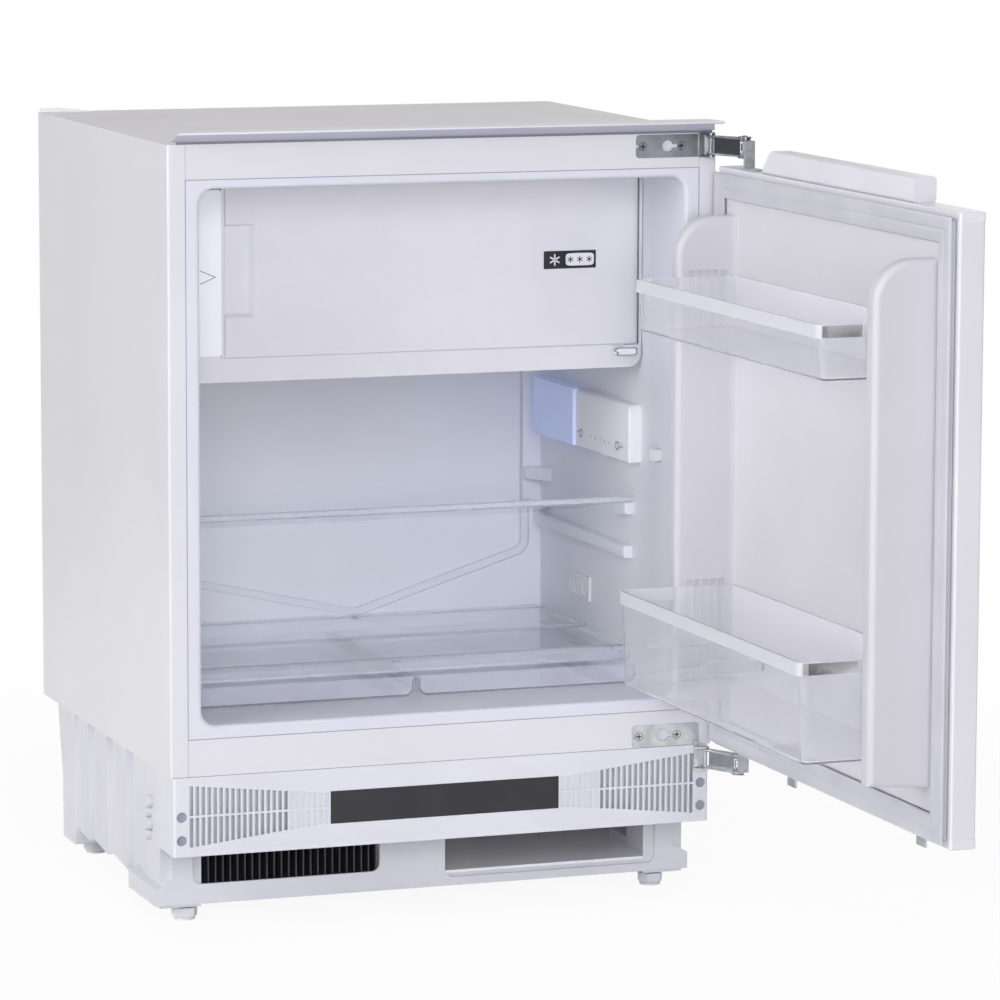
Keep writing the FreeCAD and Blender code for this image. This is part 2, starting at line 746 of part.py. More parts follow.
def cabinet_foam(tube):
    """Foamed insulation that fills the space between the sheet shell and the liner."""
    inner = HALF - SHEET
    block = box(-inner, inner, RAIL_SHEET, DEPTH - SHEET, BODY_BOTTOM + SHEET, BODY_TOP - SHEET)
    block = block.makeFillet(EDGE_ROUND, upright_edges(block, inner, RAIL_SHEET))
    block = block.makeFillet(EDGE_ROUND, upright_edges(block, -inner, RAIL_SHEET))
    outside = tub(0, CAVITY_DEPTH + LINER, FLOOR - LINER, CEILING + LINER, LINER, CORNER + LINER)
    block = block.cut(outside.fuse(recess_pads())).cut(switch_hole(SHELL)).cut(tube)
    pans = [plate_pan(z) for z in (upper_plate_z(), lower_plate_z())]
    return block.cut(pans).cut(screw_shanks(RAIL_SHEET, SCREW_LENGTH))


# Ice box


def hinge_line():
    """Plan place (x, y) of the flap's pins, at the centre of its round edge."""
    edge = wall_at(ICEBOX_Y) - FRAME_SIDE_GAP - 2 * FLAP_GAP - RAIL_SHEET
    return edge - FRAME_DEPTH / 2, FLAP_Y + FRAME_DEPTH / 2


def flap_left():
    """Free edge of the flap, beside the latch strip."""
    return LATCH_STRIP - wall_at(ICEBOX_Y)


def flap_top():
    """Upper edge of the flap."""
    return CEILING - FLAP_GAP - FLAP_LINTEL


def icebox():
    """Drawn metal box that hangs under the liner's ceiling, open to the front."""
    back = CAVITY_DEPTH - ICEBOX_GAP
    radius = CORNER - ICEBOX_GAP
    outside = tub(ICEBOX_Y, back, ICEBOX_Z + SHELL, CEILING, -ICEBOX_GAP, radius)
    inside = tub(
        ICEBOX_Y - SHEET,
        back - ICEBOX_WALL,
        ICEBOX_Z + SHELL + ICEBOX_WALL,
        CEILING - ICEBOX_WALL,
        -ICEBOX_GAP - ICEBOX_WALL,
        radius - ICEBOX_WALL,
    )
    return outside.cut(inside)


def latch_bounds():
    """Left and right edge of the push latch, in the strip beside the flap."""
    right = flap_left() - 2 * FLAP_GAP - SHELL
    return right - LATCH_WIDTH, right


def icebox_frame():
    """Front frame of the ice box: latch strip, lower bar and the way for the flap and its pins."""
    outside = tub(FRAME_Y, ICEBOX_Y, ICEBOX_Z, CEILING, -FRAME_SIDE_GAP, CORNER - FRAME_SIDE_GAP)
    x, y = hinge_line()
    right = x + FRAME_DEPTH / 2 + FLAP_GAP
    low = FLAP_Z - FLAP_GAP
    high = flap_top() + FLAP_GAP
    way = box(flap_left() - FLAP_GAP, right, 0, DEPTH, low, high)
    left, latch_right = latch_bounds()
    pocket = box(
        left - LATCH_GAP,
        latch_right + LATCH_GAP,
        0,
        FRAME_Y + LATCH_DEPTH,
        FLAP_Z + SHELL - LATCH_GAP,
        flap_top() - SHELL + LATCH_GAP,
    )
    hole = FLAP_PIN_R + RUNNING_FIT
    lower = rod(x, y, low - FLAP_PIN, hole, FLAP_PIN)
    frame = outside.cut(way.fuse([pocket, lower]))
    bracket = box(x - 3 * FLAP_PIN_R, right, FLAP_Y, FRAME_Y, low - 2 * FLAP_PIN, low - FLAP_GAP)
    upper = rod(x, y, high - SHEET, hole, CEILING - high)
    return frame.cut(upper).fuse(rounded(bracket, SHELL, V(0, 1, 0)))


def icebox_flap():
    """Ice box door: a round hinge edge with two pins, and a finger grip by the free edge."""
    x, y = hinge_line()
    top = flap_top()
    slab = box(flap_left(), x, FLAP_Y, FLAP_Y + FRAME_DEPTH, FLAP_Z, top)
    soft = [edge for edge in front_edges(slab, FLAP_Y) if edge.BoundBox.XMin < x - TINY]
    slab = slab.makeFillet(FLAP_ROUND, soft)
    edge = rod(x, y, FLAP_Z, FRAME_DEPTH / 2, top - FLAP_Z)
    pins = rod(x, y, FLAP_Z - FLAP_PIN + SEAT_GAP, FLAP_PIN_R, top - FLAP_Z + FLAP_PIN + FLAP_GAP)
    grip_top = top - GRIP_FROM_TOP
    grip = box(
        flap_left() - FLAP_GAP,
        flap_left() + GRIP_WIDTH,
        FLAP_Y - SHEET,
        FLAP_Y + GRIP_DEPTH,
        grip_top - GRIP_HEIGHT,
        grip_top,
    )
    return slab.fuse([edge, pins]).removeSplitter().cut(rounded(grip, GRIP_DEPTH / 2, V(0, 1, 0)))


def icebox_latch():
    """Push plate that frees the flap, standing a little proud of its strip."""
    left, right = latch_bounds()
    plate = box(
        left,
        right,
        FLAP_Y + SEAT_GAP,
        FRAME_Y + LATCH_DEPTH - LATCH_TRAVEL - LATCH_GAP,
        FLAP_Z + SHELL,
        flap_top() - SHELL,
    )
    return rounded(plate, SHELL, V(0, 1, 0))


# Shelf and crisper


def shelf_half():
    """Half the shelf's width, clear of the drafted walls at the shelf's back."""
    return wall_at(RAIL_END) - SHELF_SIDE_GAP


def shelf_plate():
    """The shelf's glass, drawn level at the height of its rear rest."""
    half = shelf_half()
    start = RAIL_END - SHELF_LENGTH + SHELF_TRIM - GLASS
    return box(-half, half, start, RAIL_END - GLASS, SHELF_BACK_Z, SHELF_BACK_Z + GLASS)


def shelf_glass():
    """Toughened glass plate of the shelf, which falls to the back."""
    return tilted(shelf_plate())


def shelf_trims():
    """Front and rear profiles clipped over the shelf's edges."""
    half = shelf_half()
    start = RAIL_END - SHELF_LENGTH
    low = SHELF_BACK_Z - SHELL
    front_bar = box(-half, half, start, start + SHELF_TRIM, low, low + SHELF_TRIM_HEIGHT)
    rear_bar = box(-half, half, RAIL_END - SHELF_TRIM, RAIL_END, SHELF_BACK_Z, SHELF_BACK_Z + SHELF_TRIM)
    plate = shelf_plate()
    bars = [rounded(front_bar, SHELL, V(1, 0, 0)).cut(plate), rear_bar.cut(plate)]
    return tilted(Part.makeCompound(bars))


def crisper_glass():
    """Glass cover over the two drawers."""
    half = shelf_half()
    return box(-half, half, COVER_Y + COVER_TRIM, RAIL_END, COVER_Z, COVER_Z + GLASS)


def crisper_trims():
    """Front profile of the cover, sloped over the drawers, and the bars across its middle and back."""
    half = shelf_half()
    low = COVER_Z - COVER_NOSE
    top = COVER_Z + GLASS
    back = COVER_Y + COVER_TRIM
    front_bar = side([(COVER_Y, low), (COVER_Y, COVER_Z), (back, top + SHELL), (back, low)], -half, half)
    middle = (COVER_Y + RAIL_END) / 2
    middle_bar = box(-half, half, middle - SHELL, middle + SHELL, top, top + SHELL)
    rear_bar = box(-half, half, RAIL_END, RAIL_END + GLASS, COVER_Z, top + SHELL)
    return Part.makeCompound([rounded(front_bar, SHELL, V(1, 0, 0)), middle_bar, rear_bar])


def crisper_drawer():
    """Right crisper drawer: a shallow clear tub with a taller front."""
    inner = DRAWER_MIDDLE_GAP / 2
    outer = wall_at(RAIL_END) - DRAWER_SIDE_GAP
    low = FLOOR + DRAWER_LIFT
    back = RAIL_END - GLASS
    body = box(inner, outer, DRAWER_FRONT, back, low, low + DRAWER_FRONT_HEIGHT)
    body = body.makeFillet(DRAWER_ROUND, [edge for edge in level_edges(body, low) if flat_in(edge, "X")])
    above = box(inner, outer, DRAWER_FRONT + 2 * DRAWER_WALL, back, low + DRAWER_HEIGHT, HEIGHT)
    hollow = box(
        inner + DRAWER_WALL,
        outer - DRAWER_WALL,
        DRAWER_FRONT + DRAWER_WALL,
        back - DRAWER_WALL,
        low + DRAWER_WALL,
        HEIGHT,
    )
    long_edges = [edge for edge in level_edges(hollow, low + DRAWER_WALL) if flat_in(edge, "X")]
    hollow = hollow.makeFillet(DRAWER_ROUND - DRAWER_WALL, long_edges)
    return body.cut(above).cut(hollow)


# Control box on the right wall


def wall_box(y0, y1, z0, z1, proud, inset=0.0):
    """Block that seats on the drafted right wall between two depths."""
    outline = [
        (wall_at(y0) - inset, y0),
        (wall_at(y0) - proud, y0),
        (wall_at(y1) - proud, y1),
        (wall_at(y1) - inset, y1),
    ]
    return plan(outline, z0, z1)


def dial_centre():
    """Centre (x, y, z) of the thermostat's thumb wheel."""
    y = CONTROL_Y + DIAL_ALONG
    return wall_at(y) - CONTROL_PROUD / 2, y, CONTROL_Z - DIAL_SHOWS + DIAL_R


def control_housing():
    """White thermostat housing, hollow, with a slot for the wheel and a spindle across it."""
    end = CONTROL_Y + CONTROL_LENGTH
    top = CONTROL_Z + CONTROL_HEIGHT
    block = wall_box(CONTROL_Y, end, CONTROL_Z, top, CONTROL_PROUD)
    block = block.makeFillet(SHELL, upright_edges(block, wall_at(CONTROL_Y) - CONTROL_PROUD, CONTROL_Y))
    nose = [edge for edge in front_edges(block, CONTROL_Y) if abs(edge.BoundBox.ZMin - top) < TINY]
    block = block.makeFillet(CONTROL_ROUND, nose)
    start = CONTROL_Y + CONTROL_ROUND
    hollow = wall_box(start, end - SHELL, CONTROL_Z + SHELL, top - SHELL, CONTROL_PROUD - SHELL)
    x, y, z = dial_centre()
    half = DIAL_WIDTH / 2 + FLAP_GAP
    slot = box(x - half, x + half, y - DIAL_R, y + DIAL_R, CONTROL_Z - SHELL, CONTROL_Z + 2 * SHELL)
    reach = wall_at(y) - x
    spindle = rod(x - reach + SHEET, y, z, DIAL_SPINDLE_R, 2 * reach - 2 * SHEET, V(1, 0, 0))
    return block.cut(hollow).cut(slot).fuse(spindle)


def thermostat_dial():
    """Thumb wheel with a notched rim, turning on the spindle."""
    x, y, z = dial_centre()
    start = x - DIAL_WIDTH / 2
    along = V(1, 0, 0)
    wheel = rod(start, y, z, DIAL_R, DIAL_WIDTH, along)
    notches = []
    for step in range(DIAL_NOTCHES):
        angle = step * 2 * math.pi / DIAL_NOTCHES
        rim_y = y + DIAL_R * math.sin(angle)
        rim_z = z + DIAL_R * math.cos(angle)
        notches.append(rod(start, rim_y, rim_z, SHEET, DIAL_WIDTH, along))
    bore = rod(start, y, z, DIAL_SPINDLE_R + RUNNING_FIT, DIAL_WIDTH, along)
    return wheel.cut(notches).cut(bore)


def lamp_cover():
    """Clear cover behind the thermostat housing, open to the wall."""
    start = CONTROL_Y + CONTROL_LENGTH
    end = start + LAMP_LENGTH
    top = CONTROL_Z + CONTROL_HEIGHT
    block = rounded(wall_box(start, end, CONTROL_Z, top, LAMP_PROUD), SHEET, UP)
    return block.cut(wall_box(start + SHELL, end - SHELL, CONTROL_Z + SHELL, top - SHELL, LAMP_PROUD - SHELL))


def lamp():
    """Small lamp on its holder, under the cover."""
    start = CONTROL_Y + CONTROL_LENGTH + SHELL
    y = start + LAMP_LENGTH / 3
    z = CONTROL_Z + CONTROL_HEIGHT / 2
    radius = (LAMP_PROUD - SHELL) / 2 - SHEET
    x = wall_at(y) - radius - SHEET
    holder = wall_box(start, y, z - radius, z + radius, LAMP_PROUD - 2 * SHELL)
    bulb = rod(x, y, z, radius, LAMP_LENGTH / 4, V(0, 1, 0))
    tip = Part.makeSphere(radius, V(x, FRONT + y + LAMP_LENGTH / 4, z))
    return holder.fuse(bulb.fuse(tip)).removeSplitter()


def switch_housing():
    """Box of the light switch, buried in the wall behind the liner."""
    outer = switch_hole(SHELL)
    reach = wall_at(SWITCH_Y)
    behind = box(reach + LINER + SEAT_GAP, reach + SWITCH_BOX, 0, DEPTH, 0, HEIGHT)
    inside = switch_hole(LATCH_GAP)
    floor = box(reach + SWITCH_BOX - SHELL, reach + SWITCH_BOX, 0, DEPTH, 0, HEIGHT)
    return outer.common(behind).cut(inside.cut(floor))


def switch_button():
    """Sprung plunger of the light switch."""
    half = SWITCH_SIZE / 2
    reach = wall_at(SWITCH_Y)
    inner = reach + SWITCH_BOX - SHELL - SWITCH_TRAVEL - FLAP_GAP
    low = SWITCH_Z - half
    body = box(reach - SWITCH_PROUD, inner, SWITCH_Y - half, SWITCH_Y + half, low, low + SWITCH_SIZE)
    return rounded(body, SHEET, V(1, 0, 0))


def wall_vent():
    """Ribbed cover plate low on the right wall."""
    plate = wall_box(VENT_Y, VENT_Y + VENT_LENGTH, VENT_Z, VENT_Z + VENT_HEIGHT, VENT_PROUD)
    pitch = VENT_LENGTH / (VENT_RIBS + 1)
    low = VENT_Z + 2 * SHELL
    high = VENT_Z + VENT_HEIGHT - 2 * SHELL
    grooves = []
    for step in range(VENT_RIBS):
        y = VENT_Y + pitch * (step + 0.75)
        grooves.append(wall_box(y, y + pitch / 2, low, high, 2 * VENT_PROUD, SHEET))
    return plate.cut(grooves)


# Hinges


def hull_plate(a, b, radius_a, radius_b, z0, z1):
    """Flat link with round ends about two plan points."""
    dx = b[0] - a[0]
    dy = b[1] - a[1]
    length = math.hypot(dx, dy)
    turn = math.atan2(dy, dx)
    lean = math.acos((radius_a - radius_b) / length)

    def around(centre, radius, angle):
        return (centre[0] + radius * math.cos(angle), centre[1] + radius * math.sin(angle))

    outline = [
        around(a, radius_a, turn + lean),
        around(b, radius_b, turn + lean),
        around(b, radius_b, turn - lean),
        around(a, radius_a, turn - lean),
    ]
    link = plan(outline, z0, z1)
    ends = [rod(a[0], a[1], z0, radius_a, z1 - z0), rod(b[0], b[1], z0, radius_b, z1 - z0)]
    return link.fuse(ends).removeSplitter()


def hinge_plate(plate_z, arm_z):
    """Stamped plate with a keyhole, a turned-out lug above and below the arm, and the riveted pin."""
    right = PIVOT[0] - PLATE_END
    low = arm_z - HINGE_LAYER - HINGE_SHEET
    high = arm_z + ARM_HEIGHT + HINGE_LAYER + HINGE_SHEET
    plate = plate_blank(plate_z, -PLATE_PROUD, PLATE_BACK)
    post = box(right - EYE_R, right, -HINGE_SHEET, 0, low, max(high, plate_z + PLATE_ROUND))
    middle = plate_z + PLATE_HEIGHT / 2
    screws = screw_places(middle)
    key_x = (screws[0][0] + screws[1][0]) / 2 + EYE_R
    key = rod(key_x, -PLATE_PROUD, middle, EYE_R, HINGE_SHEET, V(0, 1, 0))
    left = right - PLATE_LENGTH
    slot, notch = [
        box(x0, x1, -PLATE_PROUD, PLATE_BACK, middle - SCREW_R, middle + SCREW_R)
        for x0, x1 in ((key_x, screws[1][0]), (left, screws[0][0]))
    ]
    lugs = []
    for z in (low, high - HINGE_SHEET):
        tab = box(right - EYE_R, right, -HINGE_SHEET, 0, z, z + HINGE_SHEET)
        arm = hull_plate((right - KNUCKLE_R, -HINGE_SHEET), PIVOT, HINGE_SHEET, KNUCKLE_R, z, z + HINGE_SHEET)
        lugs += [tab, arm.common(box(0, WIDTH, -DEPTH, 0, 0, HEIGHT))]
    pin = rod(PIVOT[0], PIVOT[1], low, HINGE_PIN_R, high - low)
    body = plate.fuse([post] + lugs + [pin]).removeSplitter()
    heads = [screw_head(x, z) for x, z in screws]
    return body.cut([key, slot, notch] + heads)


def hinge_plates():
    """Upper and lower hinge plate on the cabinet's front."""
    upper = hinge_plate(upper_plate_z(), UPPER_ARM_Z)
    lower = hinge_plate(lower_plate_z(), LOWER_ARM_Z)
    return Part.makeCompound([upper, lower])


def screw_head(x, z):
    """Countersunk head, level with the hinge plate's face."""
    return Part.makeCone(SCREW_HEAD_R, SCREW_R, HINGE_SHEET, V(x, FRONT - PLATE_PROUD, z), V(0, 1, 0))


def hinge_screws():
    """Four countersunk screws."""
    screws = []
    for x, z in all_screws():
        shank = rod(x, PLATE_BACK, z, SCREW_R, SCREW_LENGTH - PLATE_BACK, V(0, 1, 0))
        screws.append(screw_head(x, z).fuse(shank).removeSplitter())
    return Part.makeCompound(screws)


def hinge_arm(z):
    """Folded channel: a flange above and below, a web along one side and a running bore at each end."""
    top = z + ARM_HEIGHT
    flanges = [
        hull_plate(PIVOT, EYE, KNUCKLE_R, EYE_R, low, low + HINGE_SHEET)
        for low in (z, top - HINGE_SHEET)
    ]
    block = hull_plate(PIVOT, EYE, KNUCKLE_R, EYE_R, z, top)
    hollow = hull_plate(PIVOT, EYE, KNUCKLE_R - HINGE_SHEET, EYE_R - HINGE_SHEET, z, top)
    length = math.hypot(ARM_SIDE, ARM_OUT)
    along = V(ARM_SIDE, ARM_OUT, 0) / length
    across = V(-along.y, along.x, 0) * 2 * EYE_R
    near = V(PIVOT[0], PIVOT[1], 0)
    far = near - along * (length - EYE_R)
    web_side = plan([(p.x, p.y) for p in (near, far, far + across, near + across)], z, top)
    web = block.cut(hollow).common(web_side)
    bores = [
        rod(x, y, z, HINGE_PIN_R + RUNNING_FIT, ARM_HEIGHT)
        for x, y in (PIVOT, EYE)
    ]
    return flanges[0].fuse([flanges[1], web]).removeSplitter().cut(bores)


def hinge_arms():
    """Upper and lower arm."""
    return Part.makeCompound([swing_arm(hinge_arm(UPPER_ARM_Z)), swing_arm(hinge_arm(LOWER_ARM_Z))])


def hinge_bracket(arm_z, face, away):
    """Door bracket: a foot on the door's end, a riser and two lugs inside the arm, with a riveted pin."""
    low = arm_z + HINGE_SHEET + HINGE_LAYER
    high = arm_z + ARM_HEIGHT - HINGE_SHEET - HINGE_LAYER
    riser_x = EYE[0] - 2 * EYE_R
    foot_z = sorted((face, face + away * HINGE_SHEET))
    riser_z = sorted((face, high if away > 0 else low))
    out0 = EYE[1] - EYE_R
    out1 = EYE[1] + EYE_R
    foot = box(riser_x - 4 * EYE_R, EYE[0] - EYE_R, out0, out1, foot_z[0], foot_z[1])
    riser = box(riser_x, riser_x + HINGE_SHEET, out0, out1, riser_z[0], riser_z[1])
    lugs = []
    for z in (low, high - HINGE_SHEET):
        eye = rod(EYE[0], EYE[1], z, EYE_R - FLAP_GAP, HINGE_SHEET)
        neck = box(riser_x, EYE[0], EYE[1] - EYE_R + FLAP_GAP, EYE[1] + EYE_R - FLAP_GAP, z, z + HINGE_SHEET)
        lugs.append(eye.fuse(neck))
    pin = rod(EYE[0], EYE[1], arm_z, HINGE_PIN_R, ARM_HEIGHT)
    return foot.fuse([riser] + lugs + [pin]).removeSplitter()


def hinge_brackets():
    """Brackets on the door's top and bottom ends."""
    upper = hinge_bracket(UPPER_ARM_Z, DOOR_TOP, 1)
    lower = hinge_bracket(LOWER_ARM_Z, BODY_BOTTOM, -1)
    return Part.makeCompound([swing_door(upper), swing_door(lower)])


# Door


def door_skin():
    """Painted outer sheet, folded round the long edges and in behind the gasket."""
    low = BODY_BOTTOM + DOOR_CAP
    high = DOOR_TOP - DOOR_CAP
    outer = rounded(box(-DOOR_HALF, DOOR_HALF, -DOOR_OUTER, -DOOR_INNER, low, high), EDGE_ROUND, UP)
    inner_half = DOOR_HALF - SHEET
    inside = box(-inner_half, inner_half, SHEET - DOOR_OUTER, -DOOR_INNER - SHEET, low, high)
    inside = rounded(inside, EDGE_ROUND - SHEET, UP)
    opening_half = DOOR_HALF - DOOR_LIP
    opening = box(-opening_half, opening_half, SHEET - DOOR_OUTER, -DOOR_INNER, low, high)
    return outer.cut(inside.fuse(opening))


def door_foam():
    """Foamed core between the skin and the inner panel."""
    half = DOOR_HALF - SHEET
    back = -DOOR_INNER - PANEL_SHEET
    core = box(-half, half, SHEET - DOOR_OUTER, back, BODY_BOTTOM + DOOR_CAP, DOOR_TOP - DOOR_CAP)
    return rounded(core, EDGE_ROUND - SHEET, UP)


def door_caps():
    """Moulded end caps that close the door's top and bottom."""
    half = DOOR_HALF + CAP_PROUD
    depth = (-DOOR_OUTER - CAP_PROUD, -DOOR_INNER)
    caps = []
    for low, end in ((DOOR_TOP - DOOR_CAP, DOOR_TOP), (BODY_BOTTOM, BODY_BOTTOM)):
        cap = rounded(box(-half, half, depth[0], depth[1], low, low + DOOR_CAP), EDGE_ROUND, UP)
        caps.append(cap.makeFillet(SHELL, level_edges(cap, end)))
    return Part.makeCompound(caps)


def dyke():
    """Upright rib of the inner panel beside the bins, with a curved head and a sloped foot."""
    low = FLOOR + DYKE_CLEAR + DYKE_FOOT
    high = SEAL_TOP - GASKET_WIDTH - DYKE_HIGH
    root = -PANEL_OUT

    def point(y, z):
        return V(DYKE_INNER, FRONT + y, z)

    knee = DYKE_CURVE * (1 - math.sqrt(0.5))
    edges = [
        Part.LineSegment(point(root, low - DYKE_FOOT), point(DYKE_DEPTH, low)),
        Part.LineSegment(point(DYKE_DEPTH, low), point(DYKE_DEPTH, high - DYKE_CURVE)),
        Part.Arc(
            point(DYKE_DEPTH, high - DYKE_CURVE),
            point(DYKE_DEPTH - knee, high - knee),
            point(DYKE_DEPTH - DYKE_CURVE, high),
        ),
        Part.LineSegment(point(DYKE_DEPTH - DYKE_CURVE, high), point(root, high)),
        Part.LineSegment(point(root, high), point(root, low - DYKE_FOOT)),
    ]
    face = Part.Face(Part.Wire([edge.toShape() for edge in edges]))
    rib = face.extrude(V(DYKE_WIDTH, 0, 0))
    soft = [edge for edge in rib.Edges if flat_in(edge, "X") and edge.BoundBox.YMax > FRONT + root + TINY]
    return rib.makeFillet(DYKE_ROUND, soft)


def bin_seat(bin_z):
    """Ledge on the dyke under one end of a bin."""
    top = bin_z - SEAT_GAP
    return box(DYKE_INNER - BIN_SEAT, DYKE_INNER, SHELL, DYKE_DEPTH - BIN_SEAT, top - BIN_SEAT, top)


def bin_flutes(bin_z, height):
    """Shallow upright flutes in the dyke's inner face, which key a bin's end."""
    tools = []
    top = bin_z + height + FLUTE_RISE
    for step in range(FLUTES):
        y = DYKE_ROUND + step * FLUTE_PITCH
        tools.append(box(DYKE_INNER, DYKE_INNER + FLUTE_DEPTH, y, y + FLUTE, bin_z, top))
    return tools


def door_liner():
    """Moulded inner panel with its two fluted dykes and the bins' seats."""
    half = DOOR_HALF - DOOR_LIP
    plate = box(
        -half, half, -DOOR_INNER - PANEL_SHEET, -DOOR_INNER, BODY_BOTTOM + DOOR_CAP, DOOR_TOP - DOOR_CAP
    )
    inner = PANEL_HALF - SEAL_GAP
    low = SEAL_BOTTOM + GASKET_WIDTH + SEAL_GAP
    high = SEAL_TOP - GASKET_WIDTH - SEAL_GAP
    panel = box(-inner, inner, -DOOR_INNER, -PANEL_OUT, low, high)
    rib = dyke().cut(bin_flutes(UPPER_BIN_Z, UPPER_BIN_HEIGHT) + bin_flutes(LOWER_BIN_Z, LOWER_BIN_HEIGHT))
    rib = rib.fuse([bin_seat(UPPER_BIN_Z), bin_seat(LOWER_BIN_Z)])
    return plate.fuse([panel, rib, mirrored(rib)]).removeSplitter()


def seal_ring(inset, out0, out1, width):
    """Rectangular ring of the gasket, inset from its outer edge."""
    half = SEAL_HALF - inset
    low = SEAL_BOTTOM + inset
    high = SEAL_TOP - inset
    ring = box(-half, half, -out1, -out0, low, high)
    hole = box(width - half, half - width, -out1, -out0, low + width, high - width)
    return ring.cut(hole)


def door_gasket():
    """Magnetic gasket: a sealing face, a narrow bellows and a root held behind the panel's edge."""
    third = GASKET / 3
    waist = GASKET_WIDTH / 5
    face = seal_ring(0, SEAL_GAP, SEAL_GAP + third, GASKET_WIDTH)
    bellows = seal_ring(waist, SEAL_GAP + third, SEAL_GAP + 2 * third, GASKET_WIDTH - 2 * waist)
    root = seal_ring(waist / 2, SEAL_GAP + 2 * third, DOOR_INNER, GASKET_WIDTH - waist)
    return face.fuse([bellows, root]).removeSplitter()


def bracket_cover():
    """White block on the door's top, slanted at its hinge end."""
    half = COVER_BLOCK_HALF
    top = DOOR_TOP + COVER_BLOCK_HEIGHT
    outline = [(-half, DOOR_TOP), (half, DOOR_TOP), (half - COVER_BLOCK_SLANT, top), (-half, top)]
    block = front(outline, SHEET - DOOR_OUTER, -DOOR_INNER - SHEET)
    return rounded(block, 2 * SHELL, V(1, 0, 0))


def door_tabs():
    """Two small angle plates under the door's lower edge."""
    tabs = []
    middle = -(DOOR_INNER + DOOR_OUTER) / 2
    for x in TAB_PLACES:
        left = x - TAB_WIDTH / 2
        right = x + TAB_WIDTH / 2
        near = -DOOR_INNER - SHELL
        foot = box(left, right, middle - SCREW_HEAD_R, near, BODY_BOTTOM - SHELL, BODY_BOTTOM)
        blade = box(left, right, near - SHELL, near, BODY_BOTTOM - TAB_DROP, BODY_BOTTOM)
        tabs.append(foot.fuse(blade).removeSplitter())
    return Part.makeCompound(tabs)


def bin_profile(z, height, reach, inset):
    """Side outline (y, z) of a bin whose front leans out towards its rim."""
    back = BIN_BACK_GAP - PANEL_OUT + inset
    top = z + height
    return [(back, z + inset), (reach - BIN_SLOPE - inset, z + inset), (reach - inset, top), (back, top)]


def round_front(shape, near, radius):
    """Fillet of a piece's two upright corners that lie deeper in the cavity than a given depth."""
    deep = [edge for edge in shape.Edges if flat_in(edge, "X") and edge.BoundBox.YMin > FRONT + near]
    uprights = [edge for edge in deep if edge.BoundBox.ZLength > edge.BoundBox.YLength]
    return shape.makeFillet(radius, uprights)


def bin_block(z, height, reach, inset):
    """Solid form of a bin, shrunk by an inset on every wall but the open top."""
    half = BIN_HALF - inset
    block = side(bin_profile(z, height, reach, inset), -half, half)
    block = round_front(block, reach / 2, BIN_ROUND - inset)
    foot = [edge for edge in level_edges(block, z + inset) if not flat_in(edge, "Y")]
    return block.makeFillet(BIN_FOOT_ROUND - inset, foot)


def door_bin(z, height, reach):
    """Clear moulded bin with a leaning, round-cornered front."""
    return bin_block(z, height, reach, 0).cut(bin_block(z, height, reach, BIN_WALL))


def bin_trim(z, height, reach):
    """Band round a bin's rim, across the front and along both ends as far as the dykes."""
    half = BIN_HALF + BIN_TRIM
    top = z + height
    low = top - BIN_TRIM_HEIGHT
    start = DYKE_DEPTH + SHELL
    band = round_front(box(-half, half, start, reach + BIN_TRIM, low, top), reach, BIN_ROUND + BIN_TRIM)
    return band.cut(round_front(box(-BIN_HALF, BIN_HALF, 0, reach, low, top), reach / 2, BIN_ROUND))


def bin_retainer():
    """Clear loop that keeps bottles upright, fixed inside the lower bin's front."""
    z = LOWER_BIN_Z + LOWER_BIN_HEIGHT / 2
    y1 = LOWER_BIN_REACH - BIN_SLOPE - BIN_WALL
    y0 = y1 - LOWER_BIN_REACH / 2
    past = y1 + LOWER_BIN_REACH
    bar = RETAINER_BAR
    outer = box(0, RETAINER_LENGTH, y0, past, z, z + RETAINER_HEIGHT)
    inner = box(bar, RETAINER_LENGTH - bar, y0 + bar, past + bar, z, z + RETAINER_HEIGHT)
    loop = rounded(outer, 3 * bar, UP).cut(rounded(inner, 2 * bar, UP))
    hollow = side(bin_profile(LOWER_BIN_Z, LOWER_BIN_HEIGHT, LOWER_BIN_REACH, BIN_WALL), 0, WIDTH)
    return loop.common(hollow)


# Base


def slot_field():
    """Tools for the right vent field: slots that shorten towards the middle, split by a bar."""
    middle = (GRILLE_BOTTOM + BODY_BOTTOM) / 2
    tools = []
    for step in range(SLOT_COUNT):
        x = FIELD_FROM_CENTRE + step * SLOT_PITCH
        share = step / (SLOT_COUNT - 1)
        half = FIELD_INNER_HALF + (FIELD_OUTER_HALF - FIELD_INNER_HALF) * share
        depth = GRILLE_SHEET if step >= SLOT_COUNT - OPEN_SLOTS else BLIND_DEPTH
        tools.append(box(x, x + SLOT, 0, depth, middle + SLOT_BAR / 2, middle + half))
        tools.append(box(x, x + SLOT, 0, depth, middle - half, middle - SLOT_BAR / 2))
    return tools


